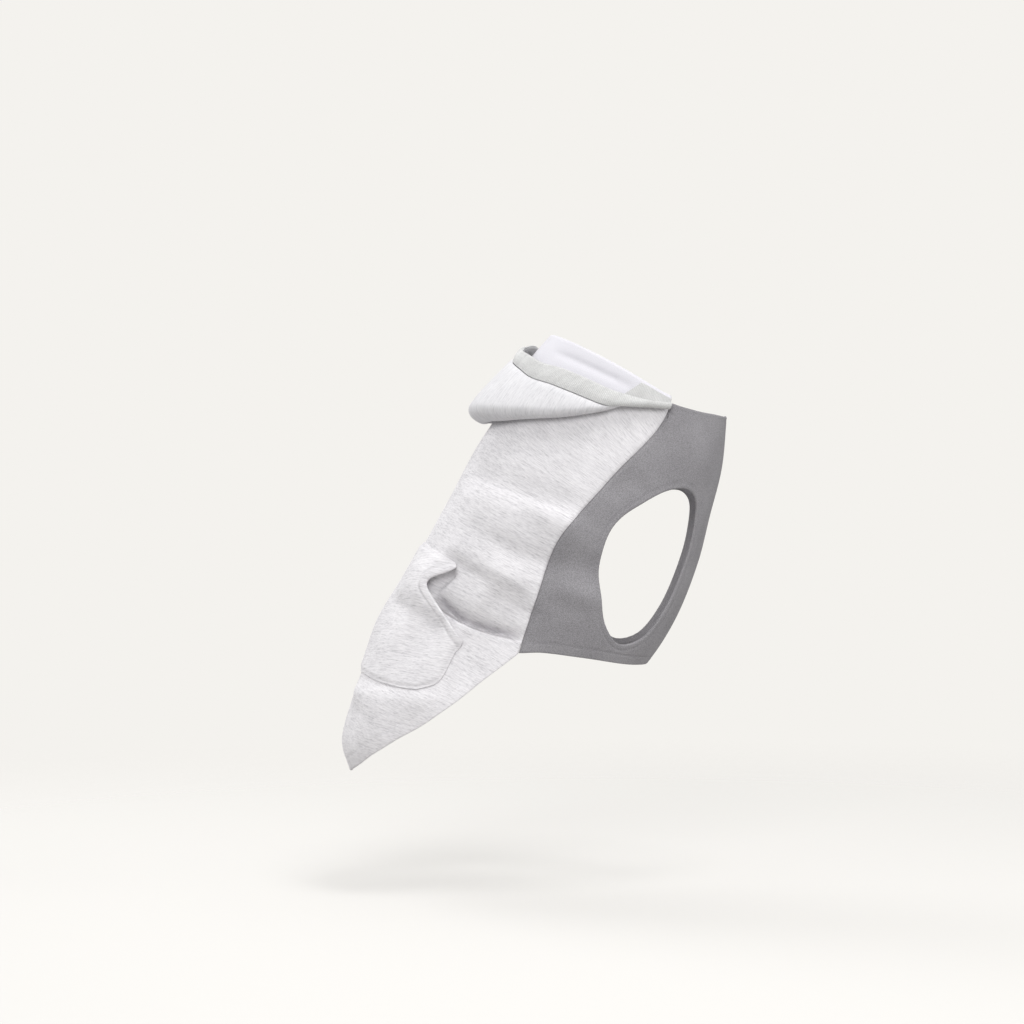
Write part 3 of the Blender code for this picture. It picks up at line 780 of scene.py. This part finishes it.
def lining_faces(angle, length, start, stop):
    high = -WALL / 2 - SEAM_GAP + lining_crease(angle, length)
    centre = np.abs(angle) * HOOD_WIDTH
    low = high - LINING_WALL + LINING_DIP * bump_at(centre, 0, SEAM_DIP_WIDTH)
    return round_edge(low, high, np.minimum(stop - length, centre) + EDGE_START)


def hood_half(side):
    angles = SIGNS[side] * (HOOD_SPLIT + (HOOD_END - HOOD_SPLIT) * edge_steps(94, 0.16))
    shares = 1 - edge_steps(96, 0.30)[::-1]
    stretch = lambda section: (0.0, section.band_start - BAND_GAP)
    shell = hood_cloth(f"hood_{side}_cloth", angles, shares, stretch, shell_faces, grain_turn=True)
    lining = hood_cloth(f"hood_lining_{side}_cloth", angles, shares, stretch, lining_faces)
    return shell, lining


hood_right, lining_right = hood_half("right")
hood_left, lining_left = hood_half("left")

# %% [markdown]
# ## Rib band
#
# The mouth is edged with a strip of rib knit, folded double. Its fold is the soft round edge on
# top, and its ribs run across it. Ribs this fine could be a bump in the material, but here they
# are raised in the mesh, so that the band's outline has them too.

# %% Rib band
RIB_PITCH = 0.0016
RIB_HEIGHT = 0.00022
COLUMNS_PER_RIB = 5
BAND_BULGE = 0.0010
BAND_PINCH = 0.0011   # how far the seam pulls the band in
PINCH_WIDTH = 0.0030
RIB_STARTS = 0.0016   # the ribs rise over this length at the seam
RIB_STOPS = 0.0010    # and sink over this one at the fold


def ribs(angle):
    return RIB_HEIGHT * np.cos(math.tau * angle * HOOD_WIDTH / RIB_PITCH)


def band_faces(angle, length, start, stop):
    share = (length - start) / (stop - start)
    rib = ribs(angle) * smooth_step((stop - length) / RIB_STOPS)
    rib = rib * smooth_step((length - start) / RIB_STARTS)
    bulge = BAND_BULGE * np.sin(math.pi * np.clip(share, 0, 1))
    pinch = BAND_PINCH * bump_at(length - start, 0, PINCH_WIDTH)
    high = WALL / 2 + bulge - pinch + rib
    low = WALL / 2 - BAND_WALL - 0.4 * bulge + 0.5 * pinch - rib
    return round_edge(low, high, np.minimum(stop - length, length - start + EDGE_START))


def band():
    count = round(2 * HOOD_END * HOOD_WIDTH / RIB_PITCH)
    angles = np.linspace(-HOOD_END, HOOD_END, count * COLUMNS_PER_RIB + 1)
    shares = both_ends(edge_steps(7, 0.5) / 2)
    stretch = lambda section: (section.band_start, section.lengths[-1])
    return hood_cloth("hood_band_rib", angles, shares, stretch, band_faces)


hood_band = band()

# %% [markdown]
# ## Band ends
#
# At the throat the band's ends are turned in over the lining and caught in the neck seam, so rib
# knit shows inside the hood too, as a small slanted patch. Bending the band itself would shear its
# ribs there, so each end is its own short piece on the same sections.

# %% Band ends
END_WALL = 0.0013
END_GAP = 0.0001
END_RIBS = 0.7       # height of their ribs, in the band's
END_START = 83.2     # where the slanted edge leaves the mouth
END_TURN = 89.5      # where it reaches the neck
END_DOWN = 0.0297
END_TUCK = 0.0012    # how far below the neck roll they end


def end_faces(angle, length, start, stop):
    lining = -WALL / 2 - SEAM_GAP - LINING_WALL
    low = lining - END_WALL - END_RIBS * ribs(angle)
    high = np.full_like(low, lining - END_GAP)
    near = np.minimum(length - start, (np.abs(angle) - END_START) * HOOD_WIDTH) + EDGE_START
    return round_edge(low, high, near)


def band_end(side):
    angles = SIGNS[side] * np.linspace(END_START, HOOD_END, 153)

    def stretch(section):
        share = min((abs(section.angle) - END_START) / (END_TURN - END_START), 1.0)
        neck = float(down_at(NECK_EDGE, abs(section.angle))) - ROLL_RISE
        start = section.on_nape(END_DOWN + (neck + END_TUCK - END_DOWN) * share)
        return start, section.band_start - BAND_GAP

    return hood_cloth(f"hood_band_end_{side}", angles, edge_steps(30, 0.03), stretch, end_faces)


end_right, end_left = band_end("right"), band_end("left")

# %% [markdown]
# ## Pocket
#
# One pocket lies across the back. Its top, bottom and lower sides are sewn flat to the back panel.
# Only the hand openings stand off, so they cast a real shadow. It could be shrunk onto the panel
# with a modifier, but it takes the panel's own places, moved out, so its edges stay true.

# %% Pocket
POCKET_EDGE = table(
    Spot, (43, 0.244), (44.7, 0.248), (41, 0.2595), (37.7, 0.269), (37.6, 0.2764), (41.3, 0.2825),
    (47.6, 0.2884), (56.8, 0.2954), (65.2, 0.3024), (70.2, 0.3064), (70.3, 0.3192), (71.2, 0.3306),
    (71.9, 0.3401), (71.8, 0.352), (69.4, 0.362), (63, 0.373),
)
POCKET_TOP, POCKET_SIDE_END = POCKET_EDGE[0].down, POCKET_EDGE[-1].down
HAND_TOP, HAND_LOW = 0.2480, 0.3064   # the hand opening's ends
POCKET_BOTTOM = 0.3850
POCKET_TOP_DROP = 0.0015
POCKET_GAPE = 0.0054
POCKET_GAPE_REACH = 1.25
HAND_HEM = 0.0080
HAND_STITCHES = 0.0072
POCKET_STITCHES = 0.0030
HAND_GROOVE = 3.2    # depth of the hand opening's stitched groove, in grooves
HAND_TURN_IN = 0.0003
HAND_TURN_OUT = 0.0010
PRESSED = 0.0060     # within this of a sewn edge the cloth is ironed thin
PRESSED_THIN = 0.38  # share of its wall that the iron takes away
POCKET_PUFF = 0.0008
POCKET_GRAIN = 0.32  # how far the pocket's courses curve away from the panel's
POCKET_GRAIN_BEND = 0.03


def pocket_place(share, down):
    progress = (down - POCKET_TOP) / (POCKET_SIDE_END - POCKET_TOP)
    rise = POCKET_TOP_DROP * (1 - share**2) * (1 - progress)
    sag = (POCKET_BOTTOM - POCKET_SIDE_END) * (1 - share**4) * smooth_step(2 * progress - 1)
    return share * angle_at(POCKET_EDGE, down), down - rise + sag


def pocket_gape(angle, down):
    """The cloth stands off the panel near the hand openings and lies on it elsewhere."""
    middle, half = (HAND_TOP + HAND_LOW) / 2, (HAND_LOW - HAND_TOP) / 2
    level = smooth_step(POCKET_GAPE_REACH - np.abs(down - middle) / half)
    side = angle_at(POCKET_EDGE, np.clip(down, POCKET_TOP, POCKET_SIDE_END))
    return POCKET_GAPE * level * smooth_step(np.abs(angle) / side)


def pocket_edges():
    """Lines of the pocket's edge: the two hand openings, and all that is sewn down."""
    sides = (np.linspace(POCKET_TOP, HAND_TOP, 40), np.linspace(HAND_LOW, POCKET_SIDE_END, 500))
    across = np.linspace(-1, 1, 900)
    sewn = [both_sides(*pocket_place(1.0, np.concatenate(sides)))]
    sewn += [bare_form(*pocket_place(across, down)) for down in (POCKET_TOP, POCKET_SIDE_END)]
    opening = pocket_place(1.0, np.linspace(HAND_TOP, HAND_LOW, 500))
    return both_sides(*opening), np.concatenate(sewn)


OPENING_LINE, SEWN_LINE = pocket_edges()


def pocket_faces(angle, down):
    bare = bare_form(angle, down)
    from_opening, from_sewn = away_from(OPENING_LINE, bare), away_from(SEWN_LINE, bare)
    turned = hem_share(from_opening, HAND_HEM)
    pressed = 1 - smooth_step(from_sewn / PRESSED)
    grooves = HAND_GROOVE * bump_at(from_opening, HAND_STITCHES, GROOVE_WIDTH)
    grooves = grooves + bump_at(from_sewn, POCKET_STITCHES, GROOVE_WIDTH) * (1 - turned)
    low = WALL + POCKET_GAP * (1 - 0.5 * pressed) + pocket_gape(angle, down) - HAND_TURN_IN * turned
    wall = WALL * (1 - PRESSED_THIN * pressed)
    high = low + wall + HAND_TURN_OUT * turned + POCKET_PUFF * (1 - pressed) - GROOVE * grooves
    return round_edge(low, high, np.minimum(from_opening, from_sewn))


def pocket_courses(angle, down):
    around = angle * GRAIN_WIDTH
    return down + POCKET_GRAIN * (np.hypot(around, POCKET_GRAIN_BEND) - POCKET_GRAIN_BEND)


def pocket():
    shares = both_ways(56, 0.13)
    downs = POCKET_TOP + (POCKET_SIDE_END - POCKET_TOP) * both_ends(edge_steps(44, 0.064) / 2)
    cloth = lay(len(shares) - 1, len(downs) - 1, lambda i, j: pocket_place(shares[i], downs[j]))
    return sew_panel("pocket_cloth", cloth, pocket_faces, pocket_courses, on_pocket=True)


pocket_piece = pocket()

# %% [markdown]
# ## Stitches
#
# Thread shows along the pocket, round the hems and at the neck edge. Each stitch is a short oval
# that lies in its groove: a small ball, stretched along the line. A texture would be cheaper, but
# it wouldn't keep the spacing even round a curve.

# %% Stitches
STITCH_PITCH = 0.0032
STITCH_LENGTH = 0.0025
THREAD = 0.00042


def beside(angles, downs, distance):
    """A line at a real distance to one side of a line on the pattern."""
    round_body = bare_form(angles + 0.5, downs) - bare_form(angles - 0.5, downs)
    along_body = (bare_form(angles, downs + 0.001) - bare_form(angles, downs)) / 0.001
    per_degree, per_metre = (np.linalg.norm(run, axis=-1) for run in (round_body, along_body))
    run_x, run_y = np.gradient(angles) * per_degree, np.gradient(downs) * per_metre
    off = distance / np.hypot(run_x, run_y)
    return angles + run_y * off / per_degree, downs - run_x * off / per_metre


def stitch_row(cloth, line, faces, on_pocket=False):
    """Lay stitches along a line of the pattern, on the outer face of a panel."""
    angles, downs = line
    _, high = faces(angles, downs)
    path = wrap(angles, downs, high, on_pocket)
    normals = outward(angles, downs)
    run = np.concatenate(((0,), np.cumsum(np.linalg.norm(np.diff(path, axis=0), axis=1))))
    count = int(run[-1] / STITCH_PITCH)
    margin = (run[-1] - count * STITCH_PITCH) / 2
    size = Matrix.Diagonal((STITCH_LENGTH / 2, THREAD / 2, THREAD / 2, 1))
    along = lambda at, values: Vector([np.interp(at, run, values[:, k]) for k in range(3)])
    for at in margin + STITCH_PITCH * (np.arange(count) + 0.5):
        behind, front = along(at - DIRECTION_REACH, path), along(at + DIRECTION_REACH, path)
        ahead = (front - behind).normalized()
        aside = along(at, normals).normalized().cross(ahead).normalized()
        turn = Matrix((ahead, aside, ahead.cross(aside))).transposed().to_4x4()
        place = Matrix.Translation((behind + front) / 2) @ turn @ size
        bmesh.ops.create_icosphere(cloth, subdivisions=1, radius=1.0, matrix=place)
    return count


def thread_piece(name, rows):
    cloth = bmesh.new()
    count = sum(stitch_row(cloth, *row) for row in rows)
    bmesh.ops.recalc_face_normals(cloth, faces=cloth.faces)
    print(f"{name}: {count} stitches")
    return add_piece(name, cloth)


def pocket_rows():
    """Each row stops a little before the pocket's corners."""
    across = np.linspace(-0.985, 0.985, 400)
    opening = np.linspace(HAND_TOP + 0.003, HAND_LOW - 0.001, 300)
    side = np.linspace(HAND_LOW + 0.002, POCKET_SIDE_END - 0.002, 200)
    hand = beside(*pocket_place(1.0, opening), -HAND_STITCHES)
    low_side = beside(*pocket_place(1.0, side), -POCKET_STITCHES)
    upper = beside(*pocket_place(across, POCKET_TOP), -POCKET_STITCHES)
    lower = beside(*pocket_place(across, POCKET_SIDE_END), POCKET_STITCHES)
    lines = [(sign * angles, downs) for angles, downs in (hand, low_side) for sign in (1, -1)]
    return [(line, pocket_faces, True) for line in (*lines, upper, lower)]


def back_hem_row():
    right = back_place(1.0, HEM_DOWNS[:-8:4])
    tip = back_place(np.linspace(0.9, -0.9, 41), TAIL_SIDE)
    angles = np.concatenate((right[0], tip[0], -right[0][::-1]))
    downs = np.concatenate((right[1], tip[1], right[1][::-1]))
    return [(beside(angles, downs, -BACK_STITCHES), back_faces)]


def chest_rows():
    at = np.linspace(0, len(ARMHOLE), 700, endpoint=False)
    leg = beside(*closed_curve(ARMHOLE, at), LEG_STITCHES)
    angles = np.linspace(BELLY_HEM[0].angle + 1, 359 - BELLY_HEM[0].angle, 500)
    belly = beside(angles, down_at(BELLY_HEM, 180 - np.abs(180 - angles)), BELLY_STITCHES)
    angles = np.linspace(112, 248, 400)
    front = beside(angles, down_at(NECK_EDGE, 180 - np.abs(180 - angles)), -FRONT_STITCHES)
    return [(line, chest_faces) for line in (leg, (360 - leg[0], leg[1]), belly, front)]


fleece_stitches = thread_piece("fleece_stitches", pocket_rows() + back_hem_row())
jersey_stitches = thread_piece("jersey_stitches", chest_rows())

# %% [markdown]
# ## Shader sums as Python
#
# Nodes can be wired by hand, but their sums are easier to read as sums. `Wire` holds a node's output
# and knows how to add, subtract and multiply, and `add_node` makes any other node.

# %% Wires and nodes
class Wire:
    """The output of a node, for use in sums."""

    def __init__(self, tree, socket):
        self.tree, self.socket = tree, socket

    def maths(self, operation, *others):
        sockets = dict(enumerate((self, *others)))
        return add_node(self.tree, "ShaderNodeMath", {"operation": operation}, sockets)

    def __add__(self, other):
        return self.maths("ADD", other)

    def __sub__(self, other):
        return self.maths("SUBTRACT", other)

    def __rsub__(self, other):
        return self * -1 + other

    def __mul__(self, other):
        return self.maths("MULTIPLY", other)

    def __abs__(self):
        return self.maths("ABSOLUTE")

    __radd__ = __add__
    __rmul__ = __mul__


def set_sockets(tree, node, sockets):
    """Give a node's sockets their links from wires, or their values."""
    for name, value in sockets.items():
        if isinstance(value, Wire):
            tree.links.new(value.socket, node.inputs[name])
        else:
            node.inputs[name].default_value = value


def add_node(tree, kind, settings, sockets, output=0):
    """A node with its settings made first, and then its sockets."""
    node = tree.nodes.new(kind)
    for name, value in settings.items():
        setattr(node, name, value)
    set_sockets(tree, node, sockets)
    return Wire(tree, node.outputs[output])


def new_material(name, **values):
    """A material with its Principled shader, whose constant values are set on its own sockets."""
    made = bpy.data.materials.new(name)
    made.use_nodes = True
    shader = made.node_tree.nodes["Principled BSDF"]
    feed(made.node_tree, shader, **values)
    return made, made.node_tree, shader


def feed(tree, shader, **sockets):
    set_sockets(tree, shader, {name.replace("_", " "): value for name, value in sockets.items()})


def cloth_material(name, colours, roughness, sheen, weave):
    """A knit's material. weave turns the grain into the dark colour's share and a relief."""
    made, tree, shader = new_material(
        name, Roughness=roughness, Sheen_Weight=sheen, Sheen_Roughness=0.5, Specular_IOR_Level=0.2
    )
    grain = add_node(tree, "ShaderNodeAttribute", {"attribute_name": "grain"}, {}, "Vector")
    share, relief = weave(grain)
    feed(tree, shader, Base_Color=blend_colours(share, *colours), Normal=relief)
    print(f"{name}: {len(tree.nodes)} nodes")
    return made


def numbers(vector):
    """The three numbers of a vector, each as a wire."""
    split = vector.tree.nodes.new("ShaderNodeSeparateXYZ")
    vector.tree.links.new(vector.socket, split.inputs[0])
    return [Wire(vector.tree, output) for output in split.outputs]


def stretched(at, across, along, depth):
    return add_node(at.tree, "ShaderNodeMapping", {}, {"Vector": at, "Scale": (across, along, depth)})


def noise(at, scale=1.0, detail=2.0, roughness=0.5):
    sockets = {"Vector": at, "Scale": scale, "Detail": detail, "Roughness": roughness}
    return add_node(at.tree, "ShaderNodeTexNoise", {}, sockets)


def between(value, low, high):
    """0 below low, 1 above high, smooth in between."""
    sockets = {"Value": value, "From Min": low, "From Max": high}
    return add_node(value.tree, "ShaderNodeMapRange", {"interpolation_type": "SMOOTHSTEP"}, sockets)


def blend_colours(share, first, second):
    sockets = {0: share, 6: srgb(first), 7: srgb(second)}
    return add_node(share.tree, "ShaderNodeMix", {"data_type": "RGBA"}, sockets, 2)


def bump(height, distance, strength):
    sockets = {"Height": height, "Distance": distance, "Strength": strength}
    return add_node(height.tree, "ShaderNodeBump", {}, sockets)


def srgb(colour):
    """A colour as a colour picker gives it, 0 to 255, turned into light."""
    values = [value / 255 for value in colour]
    return (*[v / 12.92 if v <= 0.04045 else ((v + 0.055) / 1.055) ** 2.4 for v in values], 1.0)


# %% [markdown]
# ## Heather fleece
#
# Heather yarn is spun from light and dark fibres, so the knit has short dark streaks that run with
# the courses, on a near-white ground. Two noises stretched along the grain give streaks of two
# lengths, and the darkest of both are flecks. A broad noise lets the tone drift, and a fine bump
# gives the brushed nap. A picture of cloth would repeat, and would bring its own light.

# %% Heather fleece
def heather(grain):
    long_streaks = noise(stretched(grain, 95.0, 820.0, 300.0), detail=3.0, roughness=0.6)
    short_streaks = noise(stretched(grain, 260.0, 1350.0, 300.0))
    melange = between(long_streaks, 0.34, 0.68) * 0.55 + between(short_streaks, 0.32, 0.68) * 0.45
    flecks = between(long_streaks * 0.55 + short_streaks * 0.45, 0.55, 0.68)
    drift = between(noise(grain, scale=24.0, detail=3.0), 0.30, 0.72)
    nap = noise(grain, scale=1500.0, detail=3.0, roughness=0.65)
    share = melange * 0.60 + flecks * 0.24 + drift * 0.16
    return share, bump(nap * 0.6 - melange * 0.6, 0.00030, 0.55)


BODY_TONES = ((236, 234, 236), (185, 183, 186))
# painted shade: the hood's light tone is darker than the body's, against the extra light its top catches;
# its paler dark tone gives softer streaks
HOOD_SHADED_TONES = ((226, 225, 227), (193, 192, 195))
body_fleece = cloth_material("heather_fleece", BODY_TONES, 0.92, 0.10, heather)
shaded_hood_fleece = cloth_material("heather_fleece_hood_painted_shade", HOOD_SHADED_TONES, 0.92, 0.10, heather)

# %% [markdown]
# ## Grey jersey, white lining and rib
#
# Jersey is a flat knit of small V shapes. A folded sum of the grain's two numbers draws them as a
# bump, and a fine noise gives the slight melange of the yarn. The rib has its ridges in the mesh
# already, so its material adds the yarn's flecks and rungs, and painted shade in the valleys.

# %% Knit finishes
LOOP_WIDTH = 0.0011
LOOP_HEIGHT = 0.0008
RUNG_PITCH = 0.0011


def loops(grain):
    """The V-shaped loops of a jersey face, as a height from 0 to 1."""
    across, along, _ = numbers(grain)
    column = across.maths("PINGPONG", LOOP_WIDTH / 2) * (1 / LOOP_WIDTH)
    slant = (along * (1 / LOOP_HEIGHT) + column * 1.3) * math.tau
    wave = slant.maths("SINE") * 0.5 + 0.5
    return wave * 0.55 + abs((column * math.tau).maths("SINE")) * 0.45


def jersey(loop_bump):
    """The weave of a jersey whose loops stand out by a strength."""
    def weave(grain):
        speckle = between(noise(grain, scale=1250.0, roughness=0.6), 0.30, 0.72)
        drift = between(noise(grain, scale=22.0), 0.30, 0.75)
        fuzz = noise(grain, scale=2200.0)
        return speckle * 0.8 + drift * 0.2, bump(loops(grain) + fuzz * 0.5, 0.00018, loop_bump)

    return weave


def rib(grain):
    """Yarn flecks, and painted shade in the valleys between the ribs, with the rungs there."""
    around, across, _ = numbers(grain)
    # painted shade: the valleys of the mesh's ribs, and the rungs in them, take the darker tone
    valley_shade = (around * (math.tau / RIB_PITCH)).maths("COSINE") * -0.5 + 0.5
    rungs = (across * (math.tau / RUNG_PITCH)).maths("SINE") * 0.5 + 0.5
    speckle = between(noise(grain, scale=1300.0, roughness=0.6), 0.30, 0.72)
    drift = between(noise(grain, scale=60.0), 0.30, 0.72)
    share = valley_shade * 0.24 + rungs * valley_shade * 0.12 + speckle * 0.38 + drift * 0.22 + 0.06
    return share, bump(rungs * 0.6 + speckle * 0.5, 0.00015, 0.5)


GREY_TONES = ((159, 157, 160), (117, 115, 118))
WHITE_TONES = ((224, 223, 228), (208, 206, 212))
# the rib's dark tone is its yarn's flecks, and painted shade in the valleys
RIB_YARN_AND_SHADE_TONES = ((225, 225, 224), (175, 175, 174))
grey_jersey = cloth_material("grey_jersey", GREY_TONES, 0.85, 0.05, jersey(0.5))
lining_knit = cloth_material("white_lining", WHITE_TONES, 0.85, 0.05, jersey(0.35))
rib_knit = cloth_material("rib_knit", RIB_YARN_AND_SHADE_TONES, 0.88, 0.06, rib)


def thread(name, colour):
    """Sewing thread, with the twist of its plies as a fine noise in its tone and bump."""
    made, tree, shader = new_material(name, Roughness=0.7, Sheen_Weight=0.1)
    twist = noise(add_node(tree, "ShaderNodeTexCoord", {}, {}, "Object"), scale=3200.0, detail=1.0)
    tone = blend_colours(twist, colour, [0.86 * value for value in colour])
    feed(tree, shader, Base_Color=tone, Normal=bump(twist, 0.0001, 0.6))
    return made


pale_thread = thread("pale_thread", (222, 221, 225))
grey_thread = thread("grey_thread", (140, 138, 142))

# %% [markdown]
# ## Dress each piece
#
# Each piece takes its finish and rides on the hoodie's one body, and the packed shell that it
# replaces is hidden. The table also lists the size that each was cut to: its own width and
# length, measured along the cloth without seam allowances.

# %% Rides, finishes and cut sizes
Cut = namedtuple("Cut", "piece node finish slot width length area rests_on")


def dress(piece, finish, slot):
    piece.data.materials.append(finish)
    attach(piece, "root")


CUTS = table(
    Cut,
    (back, "back_panel", body_fleece, "heather_fleece", 0.44, 0.50, 0.152, "chest_panel_cloth"),
    (chest, "chest_panel", grey_jersey, "grey_jersey", 0.36, 0.29, 0.060, "back_panel_cloth"),
    (hood_right, "hood_right", shaded_hood_fleece, "heather_fleece", 0.20, 0.20, 0.021, "back_panel_cloth"),
    (hood_left, "hood_left", shaded_hood_fleece, "heather_fleece", 0.20, 0.20, 0.021, "back_panel_cloth"),
    (lining_right, "hood_lining_right", lining_knit, "white_lining", 0.20, 0.20, 0.021, "hood_right_cloth"),
    (lining_left, "hood_lining_left", lining_knit, "white_lining", 0.20, 0.20, 0.021, "hood_left_cloth"),
    (hood_band, "hood_band", rib_knit, "rib_knit", 0.42, 0.042, 0.0085, "hood_right_cloth"),
    (pocket_piece, "pocket", body_fleece, "heather_fleece", 0.24, 0.15, 0.031, "back_panel_cloth"),
    (end_right, None, rib_knit, "rib_knit", 0.05, 0.02, 0.0007, "hood_lining_right_cloth"),
    (end_left, None, rib_knit, "rib_knit", 0.05, 0.02, 0.0007, "hood_lining_left_cloth"),
)
for cut in CUTS:
    dress(cut.piece, cut.finish, cut.slot)
    if cut.node:
        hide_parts(cut.node)
    faces = sum(polygon.area for polygon in cut.piece.data.polygons)
    print(f"{cut.piece.name}: half its surface {faces / 2:.4f} m2, flat {cut.area} m2")
dress(fleece_stitches, pale_thread, "heather_fleece")
dress(jersey_stitches, grey_thread, "grey_jersey")

# %% [markdown]
# ## Floor, light and camera
#
# The hoodie floats at the height at which it is worn, over a pale floor. The floor is half clear
# and fades out towards its rim into the plain bright background, so no horizon crosses the picture.
# Four disc lamps give the cloth its round shading, with a sky that is brighter above than below.

# %% Floor
def show_mix(tree, share, first, second, output):
    """Send a mix of two shaders to a tree's output node."""
    mixed = add_node(tree, "ShaderNodeMixShader", {}, {0: share, 1: first, 2: second})
    set_sockets(tree, tree.nodes[output], {"Surface": mixed})


FLOOR = -0.512
FLOOR_RADIUS = 3.0
FLOOR_CLEAR = 0.35     # how much of it the background shows through in the middle
BACKGROUND = srgb((244, 242, 238))


def pale_floor():
    ground = bmesh.new()
    bmesh.ops.create_circle(ground, cap_ends=True, segments=96, radius=FLOOR_RADIUS)
    bmesh.ops.translate(ground, verts=ground.verts, vec=(-0.1, 0.0, FLOOR))
    floor = add_piece("floor", ground)
    made, tree, shader = new_material("pale_floor", Base_Color=srgb((226, 224, 221)), Roughness=0.9)
    at = add_node(tree, "ShaderNodeTexCoord", {}, {}, "Object")
    reach = add_node(tree, "ShaderNodeVectorMath", {"operation": "LENGTH"}, {0: at}, 1)
    clear = add_node(tree, "ShaderNodeBsdfTransparent", {}, {})
    share = between(reach, 0.5, 1.7) * (1 - FLOOR_CLEAR) + FLOOR_CLEAR
    show_mix(tree, share, Wire(tree, shader.outputs[0]), clear, "Material Output")
    floor.data.materials.append(made)
    floor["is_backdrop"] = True


pale_floor()
print("floor at, mm:", round(1000 * FLOOR))

# %% Light
SKY_ABOVE = 0.78
SKY_BELOW = 0.04


def studio_world():
    """The camera sees the plain bright background. The cloth gets more light from above than below."""
    world = bpy.data.worlds.new("studio")
    world.use_nodes = True
    tree = world.node_tree
    tree.nodes["Background"].inputs["Color"].default_value = BACKGROUND
    seen = Wire(tree, tree.nodes["Background"].outputs[0])
    direction = numbers(add_node(tree, "ShaderNodeTexCoord", {}, {}, "Generated"))
    strength = (direction[2] * 0.5 + 0.5) * (SKY_ABOVE - SKY_BELOW) + SKY_BELOW
    white = {"Color": (1.0, 1.0, 1.0, 1.0), "Strength": strength}
    soft = add_node(tree, "ShaderNodeBackground", {}, white)
    rays = add_node(tree, "ShaderNodeLightPath", {}, {}, "Is Camera Ray")
    show_mix(tree, rays, soft, seen, "World Output")
    bpy.context.scene.world = world


studio_world()
bpy.context.scene.view_settings.view_transform = "Standard"

Light = namedtuple("Light", "name x y z size power")
LIGHTS = table(
    Light,
    ("top_light", 0.40, -0.85, 2.05, 1.0, 21.0),
    ("front_light", -0.50, -2.45, 0.84, 1.2, 28.5),
    ("back_light", -1.80, 1.20, 1.00, 1.6, 23.0),
    ("side_light", 2.30, -0.50, 0.35, 1.4, 15.0),
)
AIM = Vector((-0.10, 0.0, -0.20))
for light in LIGHTS:
    lamp = bpy.data.lights.new(light.name, "AREA")
    lamp.shape = "DISK"
    lamp.size = light.size
    lamp.energy = light.power
    holder = add_object(light.name, lamp)
    holder.location = (light.x, light.y, light.z)
    holder.rotation_euler = (AIM - holder.location).to_track_quat("-Z", "Y").to_euler()
    print(f"{light.name}: {light.power} W")

# %% Camera
# The camera's frame is 1.024 metres wide at the hoodie's middle, one millimetre a point in a picture 1024
# points wide.
LENS = 85.0
SENSOR = 36.0
PICTURE = 1.024
camera = add_object("camera", bpy.data.cameras.new("camera"))
camera.data.lens = LENS
camera.data.sensor_width = SENSOR
camera.location = (-0.126, -PICTURE * LENS / SENSOR, -0.1365)
camera.rotation_euler = (math.radians(90), 0.0, 0.0)
bpy.context.scene.camera = camera
print("camera at:", [round(value, 3) for value in camera.location])

# %% Sizes, and the last line
dressed_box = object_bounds()
for label, box in (("packed", model_box), ("dressed", dressed_box)):
    print(label, "mm:", [round(1000 * (high - low), 1) for low, high in zip(*box)])
